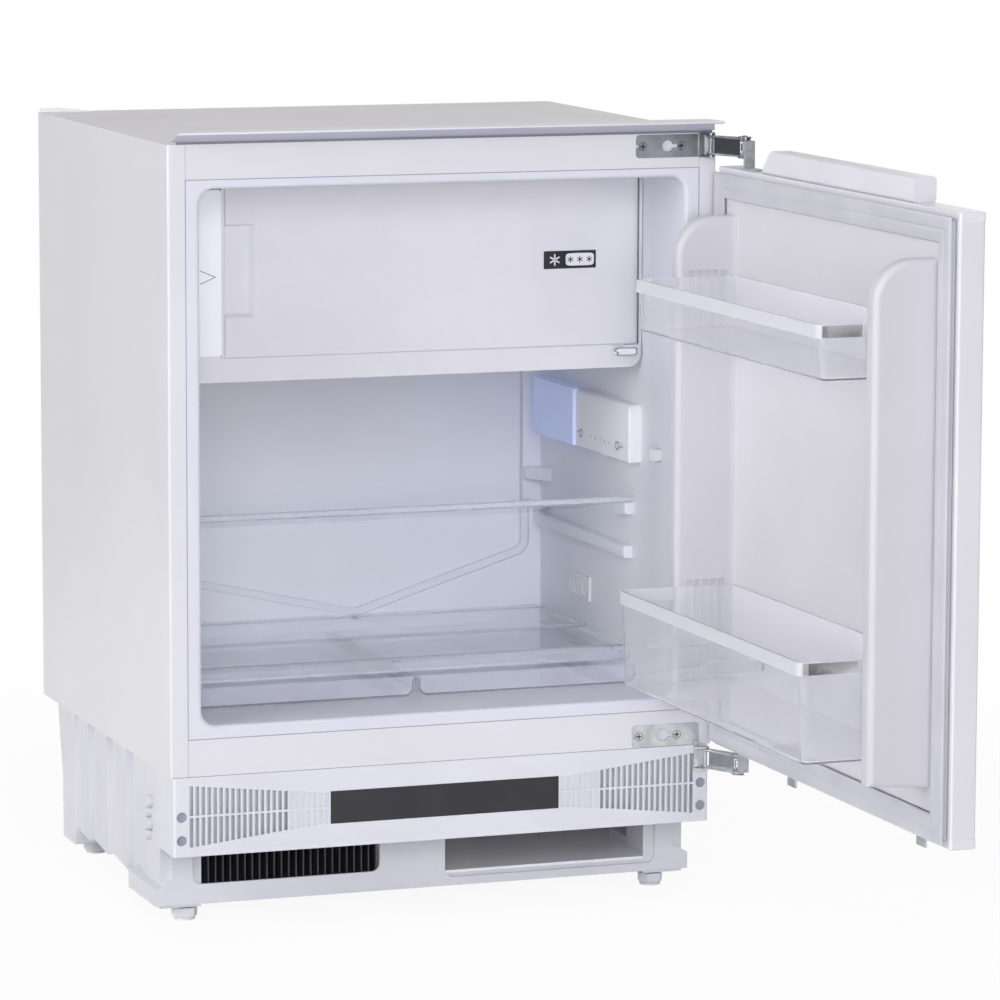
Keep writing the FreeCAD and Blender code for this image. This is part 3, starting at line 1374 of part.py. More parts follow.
def vent_grille():
    """Plinth grille with two tapering vent fields, plug holes and a shallow seat for the dark plate."""
    top = BODY_BOTTOM - FLAP_GAP / 2
    face = box(-GRILLE_HALF, GRILLE_HALF, 0, GRILLE_SHEET, GRILLE_BOTTOM, top)
    wing = box(GRILLE_HALF - GRILLE_SHEET, GRILLE_HALF, 0, GRILLE_RETURN, GRILLE_BOTTOM, top)
    middle = (GRILLE_BOTTOM + BODY_BOTTOM) / 2
    tools = slot_field()
    x = GRILLE_HALF - PLUG_HOLE_FROM_EDGE
    for z in (middle, middle - PLUG_HOLE_PITCH):
        tools.append(rod(x, 0, z, PLUG_HOLE_R, BLIND_DEPTH, V(0, 1, 0)))
    tools += [mirrored(tool) for tool in tools]
    low = middle - CENTRE_HEIGHT / 2
    seat = box(-CENTRE_HALF, CENTRE_HALF, 0, BLIND_DEPTH, low, low + CENTRE_HEIGHT)
    shell = face.fuse([wing, mirrored(wing)]).removeSplitter()
    corners = upright_edges(shell, GRILLE_HALF, 0) + upright_edges(shell, -GRILLE_HALF, 0)
    return shell.makeFillet(EDGE_ROUND, corners).cut(tools + [seat])


def grille_plate():
    """Dark plate set into the middle of the grille."""
    middle = (GRILLE_BOTTOM + BODY_BOTTOM) / 2
    half = CENTRE_HEIGHT / 2
    return box(-CENTRE_HALF, CENTRE_HALF, SEAT_GAP, BLIND_DEPTH, middle - half, middle + half)


def skid():
    """Block at the plinth's right end that runs back beside the foot, sloped on top."""
    wall = HALF - WALL_INSET
    end = HALF - SHEET
    slope = SKID_TOP - SKID_SLOPE
    inner = HALF - SKIRT_INSET - POST_WIDTH
    outline = [
        (inner, SKID_BOTTOM),
        (end, SKID_BOTTOM),
        (end, slope),
        (wall, SKID_TOP),
        (inner, SKID_TOP),
    ]
    block = front(outline, PLINTH_SETBACK + BASE_SHEET, PLINTH_SETBACK + SKID_LENGTH)
    return block.cut(corner_post(front_post_y())).cut(base_floor())


def base_front():
    """Plinth wall, set back, with an air opening on each side of a post and a skid at each end."""
    wall = HALF - WALL_INSET
    end = HALF - SHEET
    slope = SKID_TOP - SKID_SLOPE
    half_outline = [
        (wall, GRILLE_BOTTOM),
        (wall, SKID_TOP),
        (end, slope),
        (end, SKID_BOTTOM),
    ]
    outline = half_outline + [(-x, z) for x, z in reversed(half_outline)]
    sheet = front(outline, PLINTH_SETBACK, PLINTH_SETBACK + BASE_SHEET)
    y0 = PLINTH_SETBACK
    y1 = PLINTH_SETBACK + BASE_SHEET
    left = box(INLET_MARGIN - wall, -INLET_END, y0, y1, INLET_SILL, GRILLE_BOTTOM + CORNER)
    right = box(OUTLET_START, wall - OUTLET_MARGIN, y0, y1, OUTLET_SILL, GRILLE_BOTTOM + CORNER)
    openings = [rounded(tool, SKID_SLOPE, V(0, 1, 0)) for tool in (left, right)]
    rim = box(-wall, wall, y0, y1, GRILLE_BOTTOM - BASE_SHEET, GRILLE_BOTTOM)
    return sheet.cut(openings).fuse([rim, skid(), mirrored(skid())]).removeSplitter()


def corner_post(y):
    """Plain block of a right corner post whose front face is at depth y."""
    outer = HALF - SKIRT_INSET
    return box(outer - POST_WIDTH, outer, y, y + POST_DEPTH, BASE_BOTTOM, BODY_BOTTOM)


def base_floor():
    """Floor sheet of the machine compartment before the posts' corners are cut out."""
    half = HALF - SKIRT_INSET - PLEAT_STEP - BASE_SHEET
    return box(-half, half, front_post_y(), rear_post_y() + POST_DEPTH, SKIRT_BOTTOM, TRAY_TOP)


def base_tray():
    """Floor of the machine compartment, cut out round the four corner posts."""
    floor = base_floor()
    for y in (front_post_y(), rear_post_y()):
        floor = floor.cut([corner_post(y), mirrored(corner_post(y))])
    return floor


def rear_post_y():
    """Front face of the rear posts, placed so that the feet stand about the cabinet's middle."""
    return DEPTH - FOOT_SETBACK - POST_DEPTH / 2


def front_post_y():
    """Front face of the front posts, behind the plinth wall."""
    return PLINTH_SETBACK + BASE_SHEET


def foot_places():
    """Plan places (x, y) of the four feet."""
    return [(sx * FOOT_X, y) for y in (FOOT_SETBACK, DEPTH - FOOT_SETBACK) for sx in (-1, 1)]


def base_posts():
    """Corner posts that carry the cabinet on the feet; the front ones have four bosses outside."""
    outer = HALF - SKIRT_INSET
    posts = [corner_post(y) for y in (front_post_y(), rear_post_y())]
    bosses = []
    for step in range(4):
        y = front_post_y() + POST_DEPTH / 2 + (BOSS_R if step % 2 else 2 * BOSS_R)
        z = GRILLE_BOTTOM + PLUG_HOLE_R + step * 2 * BOSS_R
        bosses.append(rod(outer, y, z, BOSS_R, SKIRT_INSET - SHEET, V(1, 0, 0)))
    posts[0] = posts[0].fuse(bosses)
    bore_r = FOOT_STUD_R + RUNNING_FIT
    studs = [rod(x, y, BASE_BOTTOM, bore_r, FOOT_STUD + SEAT_GAP) for x, y in foot_places()]
    pieces = []
    for post in posts:
        pieces += [post.cut(studs), mirrored(post).cut(studs)]
    return Part.makeCompound(pieces)


def skirt():
    """Pleated wall on the right of the machine compartment, cut to a leaning back edge."""
    outer = HALF - SKIRT_INSET
    inner = outer - PLEAT_STEP
    outline = []
    for step in range(PLEATS):
        y = SKIRT_START + FOOT_CHAMFER + step * PLEAT_PITCH
        outline += [(outer, y), (inner, y + PLEAT_PITCH)]
    outline += [(x - BASE_SHEET, y + BASE_SHEET) for x, y in reversed(outline)]
    wall = plan(outline, SKIRT_BOTTOM, BODY_BOTTOM)
    lean = [
        (SKIRT_BACK - SKIRT_LEAN, 0),
        (SKIRT_BACK, BODY_BOTTOM),
        (DEPTH + HALF, BODY_BOTTOM),
        (DEPTH + HALF, 0),
    ]
    return wall.cut(side(lean, 0, WIDTH)).cut([corner_post(rear_post_y()), skid()])


def foot(x, y):
    """Hexagonal levelling foot with a round sole, a chamfer and a stud up into the post."""
    corners = []
    for step in range(6):
        angle = step * math.pi / 3
        corners.append((x + FOOT_R * math.cos(angle), y + FOOT_R * math.sin(angle)))
    body = plan(corners, FOOT_SOLE, FOOT_HEIGHT)
    sole_r = FOOT_R - FOOT_CHAMFER
    rise = FOOT_HEIGHT - FOOT_SOLE
    cone = Part.makeCone(sole_r, sole_r + rise, rise, V(x, FRONT + y, FOOT_SOLE))
    sole = rod(x, y, 0, sole_r, FOOT_SOLE)
    stud = rod(x, y, FOOT_HEIGHT, FOOT_STUD_R, BASE_BOTTOM - FOOT_HEIGHT + FOOT_STUD)
    return body.common(cone).fuse([sole, stud]).removeSplitter()


# Machine compartment


def condenser_left():
    """Left end of the condenser, beside the left front post."""
    return FIN_PITCH - (HALF - SKIRT_INSET - POST_WIDTH)


def condenser():
    """Finned condenser behind the left opening: thin plates threaded on four tubes."""
    y0 = front_post_y() + BASE_SHEET
    y1 = y0 + CONDENSER_LENGTH
    x0 = condenser_left()
    z0 = TRAY_TOP
    fins = []
    for step in range(FIN_COUNT):
        x = x0 + step * FIN_PITCH
        fins.append(box(x, x + FIN, y0, y1, z0, z0 + CONDENSER_HEIGHT))
    length = FIN_PITCH * (FIN_COUNT - 1) + FIN
    tubes = []
    for y in (y0 + CONDENSER_LENGTH / 4, y1 - CONDENSER_LENGTH / 4):
        for z in (z0 + CONDENSER_HEIGHT / 4, z0 + 3 * CONDENSER_HEIGHT / 4):
            tubes.append(rod(x0, y, z, TUBE_R, length, V(1, 0, 0)))
    return fins[0].fuse(fins[1:] + tubes)


def compressor():
    """Sealed compressor: a welded pot with a domed top, a flanged waist, foot plate and terminal cover."""
    z0 = TRAY_TOP + MOUNT_HEIGHT
    radius = COMPRESSOR_R
    top = z0 + BASE_SHEET + COMPRESSOR_HEIGHT
    dome = radius / 3
    near = dome * (1 - math.sqrt(0.5))
    waist = (z0 + top) / 2

    def point(distance, z):
        return V(COMPRESSOR_X + distance, FRONT + COMPRESSOR_Y, z)

    edges = [
        Part.LineSegment(point(0, z0), point(radius - dome, z0)),
        Part.Arc(point(radius - dome, z0), point(radius - near, z0 + near), point(radius, z0 + dome)),
        Part.LineSegment(point(radius, z0 + dome), point(radius, waist - BASE_SHEET)),
        Part.LineSegment(point(radius, waist - BASE_SHEET), point(radius + BASE_SHEET, waist)),
        Part.LineSegment(point(radius + BASE_SHEET, waist), point(radius, waist + BASE_SHEET)),
        Part.LineSegment(point(radius, waist + BASE_SHEET), point(radius, top - dome)),
        Part.Arc(point(radius, top - dome), point(radius - near, top - near), point(radius - dome, top)),
        Part.LineSegment(point(radius - dome, top), point(0, top)),
        Part.LineSegment(point(0, top), point(0, z0)),
    ]
    outline = Part.Face(Part.Wire([edge.toShape() for edge in edges]))
    pot = outline.revolve(point(0, 0), UP, 360)
    spread = MOUNT_SPREAD + MOUNT_R
    plate = box(
        COMPRESSOR_X - spread,
        COMPRESSOR_X + spread,
        COMPRESSOR_Y - spread,
        COMPRESSOR_Y + spread,
        z0,
        z0 + BASE_SHEET,
    )
    cover = box(
        COMPRESSOR_X - radius - 4 * BASE_SHEET,
        COMPRESSOR_X - radius / 2,
        COMPRESSOR_Y - radius / 3,
        COMPRESSOR_Y + radius / 3,
        waist,
        waist + radius / 2,
    )
    body = pot.fuse([rounded(plate, MOUNT_R, UP), cover]).removeSplitter()
    holes = [rod(x, y, z0, MOUNT_R / 2, BASE_SHEET) for x, y in mount_places()]
    return body.cut(holes)


def mount_places():
    """Plan places (x, y) of the compressor's four rubber mounts."""
    signs = [(sx, sy) for sx in (-1, 1) for sy in (-1, 1)]
    return [(COMPRESSOR_X + sx * MOUNT_SPREAD, COMPRESSOR_Y + sy * MOUNT_SPREAD) for sx, sy in signs]


def compressor_mounts():
    """Waisted rubber mounts, each with a neck through the compressor's plate."""
    mounts = []
    for x, y in mount_places():
        body = rod(x, y, TRAY_TOP, MOUNT_R, MOUNT_HEIGHT)
        neck = rod(x, y, TRAY_TOP + MOUNT_HEIGHT, MOUNT_R / 2, 2 * BASE_SHEET)
        mounts.append(body.fuse(neck).removeSplitter())
    return Part.makeCompound(mounts)


def fan_motor():
    """Fan motor on a bracket from the compartment's floor, with its shaft towards the compressor."""
    along = V(1, 0, 0)
    can = rod(FAN_X - MOTOR_LENGTH, FAN_Y, FAN_Z, MOTOR_R, MOTOR_LENGTH, along)
    shaft = rod(FAN_X, FAN_Y, FAN_Z, TUBE_R, MOTOR_R, along)
    leg = box(
        FAN_X - MOTOR_LENGTH + BASE_SHEET,
        FAN_X - MOTOR_LENGTH + 2 * BASE_SHEET,
        FAN_Y - MOTOR_R / 2,
        FAN_Y + MOTOR_R / 2,
        TRAY_TOP,
        FAN_Z,
    )
    shoe = box(
        FAN_X - MOTOR_LENGTH + BASE_SHEET,
        FAN_X,
        FAN_Y - MOTOR_R / 2,
        FAN_Y + MOTOR_R / 2,
        TRAY_TOP,
        TRAY_TOP + BASE_SHEET,
    )
    return can.fuse([shaft, leg, shoe]).removeSplitter()


def fan_blade():
    """Fan wheel: pitched blades round a hub that runs on the motor's shaft."""
    along = V(1, 0, 0)
    start = FAN_X + FAN_GAP
    length = MOTOR_R - 2 * FAN_GAP
    hub = rod(start, FAN_Y, FAN_Z, MOTOR_R / 2, length, along)
    centre = V(start + length / 2, FRONT + FAN_Y, FAN_Z)
    blades = []
    for step in range(FAN_BLADES):
        corner = centre + V(-FAN_GAP / 2, -MOTOR_R / 2, MOTOR_R / 4)
        blade = Part.makeBox(FAN_GAP, MOTOR_R, FAN_R - MOTOR_R / 4, corner)
        blade.rotate(centre, UP, 32)
        blade.rotate(centre, along, step * 360.0 / FAN_BLADES)
        blades.append(blade)
    bore = rod(start, FAN_Y, FAN_Z, TUBE_R + RUNNING_FIT, length, along)
    ring = rod(start, FAN_Y, FAN_Z, FAN_R, length, along)
    return hub.fuse(blades).common(ring).cut(bore)


def evaporation_tray():
    """Tray under the drain tube, where melt water dries off."""
    y0 = TRAY_Y
    y1 = TRAY_Y + TRAY_DEPTH
    x0 = GUTTER_X - TRAY_LENGTH / 2
    x1 = GUTTER_X + TRAY_LENGTH / 2
    outer = rounded(box(x0, x1, y0, y1, TRAY_TOP, TRAY_TOP + TRAY_HEIGHT), CORNER / 2, UP)
    inner = box(x0 + SHELL, x1 - SHELL, y0 + SHELL, y1 - SHELL, TRAY_TOP + SHELL, TRAY_TOP + TRAY_HEIGHT)
    return outer.cut(rounded(inner, CORNER / 2 - SHELL, UP))


def refrigerant_pipe():
    """Copper pipe from the compressor's side across the floor to the condenser."""
    x1 = COMPRESSOR_X - COMPRESSOR_R * 0.6
    x0 = condenser_left() + FIN_PITCH * (FIN_COUNT - 1) + FIN
    y1 = COMPRESSOR_Y - COMPRESSOR_R
    y0 = front_post_y() + BASE_SHEET + CONDENSER_LENGTH - CONDENSER_LENGTH / 4
    z = TRAY_TOP + 3 * CONDENSER_HEIGHT / 4
    bend = 6 * TUBE_R

    def point(x, y):
        return V(x, FRONT + y, z)

    near = bend * (1 - math.sqrt(0.5))
    middle = point(x1 - near, y0 + near)
    path = Part.Wire(
        [
            Part.LineSegment(point(x0, y0), point(x1 - bend, y0)).toShape(),
            Part.Arc(point(x1 - bend, y0), middle, point(x1, y0 + bend)).toShape(),
            Part.LineSegment(point(x1, y0 + bend), point(x1, y1)).toShape(),
        ]
    )
    ring = Part.Wire(Part.makeCircle(TUBE_R, point(x0, y0), V(1, 0, 0)))
    return path.makePipeShell([ring], True, True)


def power_inlet():
    """Gland for the mains lead, low on the left rear post."""
    x = -(HALF - SKIRT_INSET - POST_WIDTH + INLET_R + BASE_SHEET + SEAT_GAP)
    y = rear_post_y() + POST_DEPTH
    z = (TRAY_TOP + BODY_BOTTOM) / 2
    along = V(0, 1, 0)
    flange = rod(x, y, z, INLET_R + BASE_SHEET, BASE_SHEET, along)
    neck = rod(x, y, z, INLET_R, 3 * BASE_SHEET, along)
    bore = rod(x, y + BASE_SHEET, z, INLET_BORE_R, 2 * BASE_SHEET, along)
    return flange.fuse(neck).removeSplitter().cut(bore)


def main():
    """Builds every piece and writes one file for each node."""
    os.makedirs("parts", exist_ok=True)
    tube, bore = drain_tube()
    nodes = {
        "side_panels": side_panels(),
        "top_panel": top_panel(),
        "top_strip": top_strip(),
        "back_panel": back_panel(),
        "floor_pan": floor_pan(tube),
        "front_rails": front_rails(),
        "cabinet_foam": cabinet_foam(tube),
        "inner_liner": inner_liner(),
        "drain_tube": tube.cut(bore),
        "icebox": icebox(),
        "icebox_frame": icebox_frame(),
        "icebox_flap": icebox_flap(),
        "icebox_latch": icebox_latch(),
        "shelf_glass": shelf_glass(),
        "shelf_trims": shelf_trims(),
        "crisper_glass": crisper_glass(),
        "crisper_trims": crisper_trims(),
        "crisper_right": crisper_drawer(),
        "crisper_left": mirrored(crisper_drawer()),
        "control_housing": control_housing(),
        "thermostat_dial": thermostat_dial(),
        "lamp_cover": lamp_cover(),
        "lamp": lamp(),
        "switch_housing": switch_housing(),
        "switch_button": switch_button(),
        "wall_vent": wall_vent(),
        "hinge_plates": hinge_plates(),
        "hinge_screws": hinge_screws(),
        "hinge_arms": hinge_arms(),
        "hinge_brackets": hinge_brackets(),
        "vent_grille": vent_grille(),
        "grille_plate": grille_plate(),
        "base_front": base_front(),
        "base_tray": base_tray(),
        "base_posts": base_posts(),
        "base_skirts": both_sides(skirt()),
        "condenser": condenser(),
        "compressor": compressor(),
        "compressor_mounts": compressor_mounts(),
        "fan_motor": fan_motor(),
        "fan_blade": fan_blade(),
        "evaporation_tray": evaporation_tray(),
        "refrigerant_pipe": refrigerant_pipe(),
        "power_inlet": power_inlet(),
    }
    door_pieces = {
        "door_skin": door_skin(),
        "door_foam": door_foam(),
        "door_caps": door_caps(),
        "door_liner": door_liner(),
        "door_gasket": door_gasket(),
        "door_bracket_cover": bracket_cover(),
        "door_tabs": door_tabs(),
        "upper_bin": door_bin(UPPER_BIN_Z, UPPER_BIN_HEIGHT, UPPER_BIN_REACH),
        "upper_bin_trim": bin_trim(UPPER_BIN_Z, UPPER_BIN_HEIGHT, UPPER_BIN_REACH),
        "lower_bin": door_bin(LOWER_BIN_Z, LOWER_BIN_HEIGHT, LOWER_BIN_REACH),
        "lower_bin_trim": bin_trim(LOWER_BIN_Z, LOWER_BIN_HEIGHT, LOWER_BIN_REACH),
        "bottle_retainer": bin_retainer(),
    }
    names = ("front_left", "front_right", "rear_left", "rear_right")
    for name, (x, y) in zip(names, foot_places()):
        nodes["foot_" + name] = foot(x, y)
    for name, shape in door_pieces.items():
        nodes[name] = swing_door(shape)
    for name, shape in nodes.items():
        export(name, shape)


main()
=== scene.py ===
# %% [markdown]
# A built-under fridge with an ice box, its door standing open. The rigid pieces come from the CAD model as a fixed
# frame in metres, so this lesson is about what the eye adds: finishes made from nodes, soft forms and small
# fittings, plain studio light and the photographer's viewpoint.

import json
import math

import bmesh
import bpy
import numpy as np
from mathutils import Matrix, Vector


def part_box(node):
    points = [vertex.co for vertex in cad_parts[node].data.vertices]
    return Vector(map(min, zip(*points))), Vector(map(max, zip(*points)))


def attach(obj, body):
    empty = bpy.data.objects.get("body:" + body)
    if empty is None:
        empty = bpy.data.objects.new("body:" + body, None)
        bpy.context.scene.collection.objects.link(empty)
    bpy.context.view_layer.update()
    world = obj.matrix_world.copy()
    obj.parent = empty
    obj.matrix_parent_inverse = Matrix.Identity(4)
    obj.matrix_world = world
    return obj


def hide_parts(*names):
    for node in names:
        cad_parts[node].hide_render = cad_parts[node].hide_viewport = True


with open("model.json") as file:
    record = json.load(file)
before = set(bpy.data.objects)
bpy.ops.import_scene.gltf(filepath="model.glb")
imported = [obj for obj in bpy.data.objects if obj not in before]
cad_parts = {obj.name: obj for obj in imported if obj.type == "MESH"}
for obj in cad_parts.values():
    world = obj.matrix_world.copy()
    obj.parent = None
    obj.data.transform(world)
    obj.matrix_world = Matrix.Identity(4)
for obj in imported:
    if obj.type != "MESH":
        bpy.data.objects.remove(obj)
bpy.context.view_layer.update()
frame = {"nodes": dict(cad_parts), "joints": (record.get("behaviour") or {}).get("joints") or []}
nodes = frame["nodes"]
MM = 0.001

# %% [markdown]
# Every finish below is a Principled shader with a few pattern nodes. Colours are easiest to judge as sRGB hex
# values, so one function turns those to the linear numbers that a shader wants. Pattern scales come from real
# sizes: on Object coordinates, a noise of scale 1000 / s has features s mm wide.


# %% Helpers for finishes
def linear(code):
    """sRGB hex to linear RGBA: a channel c is c / 12.92 up to 0.04045, else ((c + 0.055) / 1.055) ** 2.4."""
    c = np.array([int(code[i : i + 2], 16) for i in (1, 3, 5)]) / 255
    return (*np.where(c <= 0.04045, c / 12.92, ((c + 0.055) / 1.055) ** 2.4), 1.0)


def add(tree, kind, values=None, links=None, **settings):
    """Adds one shader node, sets its properties and input values, and links its inputs."""
    node = tree.nodes.new("ShaderNode" + kind)
    for name, value in settings.items():
        setattr(node, name, value)
    for name, value in (values or {}).items():
        node.inputs[name].default_value = value
    for name, socket in (links or {}).items():
        tree.links.new(socket, node.inputs[name])
    return node


def new_material(name):
    """Empty node material with an output and Object coordinates."""
    material = bpy.data.materials.new(name)
    material.use_nodes = True
    tree = material.node_tree
    tree.nodes.clear()
    output = add(tree, "OutputMaterial")
    place = add(tree, "TexCoord").outputs["Object"]
    return material, tree, output, place


def per_mm(size):
    """Scale of a pattern whose features are size millimetres wide, on coordinates in metres."""
    return 1.0 / (size * MM)


def banded(tree, place, drift, bands):
    """Multiplies a colour by tones along a direction, to paint shade and light: bands are its unit vector and (mm,
    tone) stops.
    """
    direction, stops = bands
    first, last = stops[0][0], stops[-1][0]
    along = add(tree, "VectorMath", {1: direction}, {0: place}, operation="DOT_PRODUCT").outputs["Value"]
    share = add(tree, "MapRange", {"From Min": first * MM, "From Max": last * MM}, {"Value": along})
    ramp = add(tree, "ValToRGB", links={"Fac": share.outputs["Result"]})
    elements = ramp.color_ramp.elements
    elements[0].color = linear(stops[0][1])
    elements[1].color = linear(stops[-1][1])
    for at, tone in stops[1:-1]:
        elements.new((at - first) / (last - first)).color = linear(tone)
    links = {6: drift, 7: ramp.outputs["Color"]}
    return add(tree, "Mix", {0: 1.0}, links, data_type="RGBA", blend_type="MULTIPLY").outputs[2]


def surfaced(name, tones, patch_mm, grain, rough, edge_mm=0.5, stretch=(1, 1, 1), bands=None, **shader):
    """Slow drift of two tones, an uneven gloss, a grain (width, depth in mm) and softened edges."""
    material, tree, output, solid = new_material(name)
    place = add(tree, "Mapping", {"Scale": stretch}, {"Vector": solid}).outputs["Vector"]
    drift = add(tree, "TexNoise", {"Scale": per_mm(patch_mm), "Detail": 2.0}, {"Vector": place})
    colour = add(tree, "ValToRGB", links={"Fac": drift.outputs["Fac"]})
    for stop, position, tone in zip(colour.color_ramp.elements, (0.35, 0.65), tones):
        stop.position = position
        stop.color = linear(tone)
    speckle = add(tree, "TexNoise", {"Scale": per_mm(grain[0]), "Detail": 3.0}, {"Vector": place})
    ends = {"From Min": 0.3, "From Max": 0.7, "To Min": rough[0], "To Max": rough[1]}
    gloss = add(tree, "MapRange", ends, {"Value": speckle.outputs["Fac"]}).outputs["Result"]
    bump = add(tree, "Bump", {"Strength": 1.0, "Distance": grain[1] * MM}, {"Height": speckle.outputs["Fac"]})
    if edge_mm:
        soft_edge = add(tree, "Bevel", {"Radius": edge_mm * MM}, samples=8)
        tree.links.new(soft_edge.outputs["Normal"], bump.inputs["Normal"])
    tint = banded(tree, solid, colour.outputs["Color"], bands) if bands else colour.outputs["Color"]
    links = {"Base Color": tint, "Roughness": gloss, "Normal": bump.outputs["Normal"]}
    bsdf = add(tree, "BsdfPrincipled", shader, links)
    tree.links.new(bsdf.outputs["BSDF"], output.inputs["Surface"])
    return material


print("white in linear light", linear("#FFFFFF"))

# %% [markdown]
# The cabinet and the door's outside are steel sheet with a stoved white enamel. It is smooth, but never flat: the
# wet coat draws into a faint orange peel a couple of millimetres across, which breaks up the reflections.

# %% Enamels
# Orange peel is about a micrometre deep: it shows in the gloss and hardly in the shading.
enamel = surfaced("stoved_enamel_white", ("#DAD9DD", "#DDDCE0"), 160, (2.4, 0.0006), (0.28, 0.34), 0, IOR=1.5)
# The top sheet has a flatter coat, which blurs what it reflects.
top_enamel = surfaced("stoved_enamel_top", ("#EBE9EB", "#EFEDEF"), 160, (2.4, 0.0008), (0.38, 0.46), 0, IOR=1.5)
# The machine's dipped black coat is thick and uneven, so its highlights are broken.
black_enamel = surfaced("black_enamel", ("#3A3A3F", "#444449"), 30, (1.5, 0.02), (0.4, 0.6), IOR=1.5)
print("enamels", enamel.name, top_enamel.name, black_enamel.name)

# %% [markdown]
# Inside, the liner and the door's inner panel are vacuum-formed polystyrene, and the small white fittings are moulded
# ABS. Both are soft-glossed. The base is polypropylene from a spark-eroded mould, so it has a fine matt grain.

# %% White plastics
BACKWARD, UPWARD = (0, 1, 0), (0, 0, 1)
# In the picture the flange and the tub's front are greyer than the walls behind, so painted shade follows the depth.
# A thin band of painted shade darkens the groove in the back wall.
LINER_PAINTED_SHADE = [
    (-255, "#E6E6E9"), (-168, "#E6E6E9"), (-112, "#FFFFFF"), (163.6, "#FFFFFF"), (165.5, "#F8F8FB"),
    (169.5, "#F8F8FB"), (171, "#FFFFFF"), (180, "#FFFFFF"),
]
FORMED = {"rough": (0.3, 0.4), "edge_mm": 1.2, "bands": (BACKWARD, LINER_PAINTED_SHADE), "IOR": 1.59}
polystyrene = surfaced("formed_polystyrene", ("#F0F1F8", "#F3F4FA"), 120, (3.0, 0.002), **FORMED)
# Polished moulds give the small fittings a soft gloss; the flap, its frame and the caps come from etched ones, and
# their darker tone is painted shade.
ABS = {"patch_mm": 90, "grain": (0.9, 0.0015), "IOR": 1.54}
abs_white = surfaced("moulded_abs_white", ("#EDEEF3", "#F1F2F6"), rough=(0.3, 0.42), **ABS)
satin_shaded_abs = surfaced("moulded_satin_shaded_abs", ("#DDDCE2", "#E1E0E5"), rough=(0.36, 0.48), **ABS)
# A lighter copy of the same white paints light on the control housing, its dial and the latch.
painted_light_abs = surfaced("moulded_painted_light_abs", ("#FAFAFE", "#FCFCFF"), rough=(0.3, 0.42), **ABS)
# In the picture the worktop strip has a blue-grey nose, a bright bead and a pale flat; the nose is painted shade and
# the bead a painted highlight, and the tone follows the height.
STRIP_SHADE_AND_HIGHLIGHT = [
    (815, "#95959F"), (818, "#95959F"), (819.5, "#ABABB6"), (824.8, "#B2B2BD"), (825.4, "#EDEDF2"),
    (827, "#FFFFFF"),
]
DRAWN = {"rough": (0.36, 0.48), "edge_mm": 0, "bands": (UPWARD, STRIP_SHADE_AND_HIGHLIGHT)}
abs_strip = surfaced("extruded_abs_strip", ("#F0EFF4", "#F3F2F6"), **DRAWN, **ABS)
# A coarse spark-eroded grain takes the shine off the dark plate and the fan.
abs_dark = surfaced("moulded_abs_dark", ("#222125", "#27262B"), 60, (0.7, 0.01), (0.42, 0.56), IOR=1.54)
# The base's grain is finer than a pixel and drawn at 0.8 mm: it shows as a dull bloom.
GRAINED = {"patch_mm": 100, "grain": (0.8, 0.006), "rough": (0.42, 0.55), "IOR": 1.49}
polypropylene = surfaced("grained_polypropylene", ("#D9D9DF", "#DEDEE4"), **GRAINED)
# A paler copy of the same polypropylene paints light on the compartment's floor, which lies in shade.
polypropylene_lit = surfaced("polypropylene_painted_light", ("#F4F4F8", "#F8F8FB"), **GRAINED)
# Soft stuffs are dull: the door's vinyl seal, the foam in the walls and the rubber under the machine.
gasket_vinyl = surfaced("gasket_vinyl", ("#C1C1C8", "#C8C8CE"), 70, (1.2, 0.01), (0.5, 0.62), IOR=1.53)
foam = surfaced("polyurethane_foam", ("#DCC998", "#E8D9B0"), 8, (1.5, 0.3), (0.8, 0.95))
rubber = surfaced("black_rubber", ("#141415", "#1C1C1D"), 20, (1.0, 0.03), (0.6, 0.75))
print("plastics", polystyrene.name, abs_white.name, polypropylene.name)

# %% [markdown]
# The hinges are steel with a bright zinc plate. Zinc is never one grey: its crystals show as soft patches, and the
# stamping leaves a faint drawn grain. The foils on the bins' ends are brushed along their length.

# %% Metals
# Bright plating mirrors the room; the upper hinge's darker tone, matched to the picture, is painted shade and a
# painted darker reflection.
ZINC_PAINTED_SHADE = [(130, "#FFFFFF"), (600, "#FFFFFF"), (700, "#C8C9CB"), (830, "#C8C9CB")]
PLATED = {"rough": (0.16, 0.28), "edge_mm": 0.4, "bands": (UPWARD, ZINC_PAINTED_SHADE), "Metallic": 1.0}
zinc = surfaced("zinc_plated_steel", ("#C6CACC", "#D8DCDD"), 12, (0.8, 0.002), **PLATED)
# Painted shade in a screw's recess and round its head.
dark_zinc = surfaced("shaded_zinc", ("#45474B", "#505256"), 6, (0.6, 0.004), (0.4, 0.55), 0.05, Metallic=1.0)
# Barrel-plated brackets come out duller than the pressed plates.
dull_zinc = surfaced("barrel_plated_zinc", ("#B4B8BC", "#C6CACD"), 7, (0.7, 0.003), (0.34, 0.48), 0.4, Metallic=0.6)
# A fold is duller inside, and its web is darker with painted shade; the upper arm's is darker still, matched to its
# tone in the picture.
WEB_PAINTED_SHADE = [(130, "#FFFFFF"), (600, "#FFFFFF"), (700, "#76777A"), (830, "#76777A")]
FOLDED = {"rough": (0.3, 0.4), "edge_mm": 0.2, "bands": (UPWARD, WEB_PAINTED_SHADE), "Metallic": 1.0}
shaded_web_zinc = surfaced("zinc_web_painted_shade", ("#9EA1A6", "#A9ACB0"), 8, (0.8, 0.003), **FOLDED)
# Brushing lines run along the foil, so its pattern is drawn out along the door.
foil = surfaced("brushed_foil", ("#E0DDDF", "#EEEBED"), 6, (0.5, 0.003), (0.3, 0.42), 0.2, (1, 0.04, 1), Metallic=1.0)
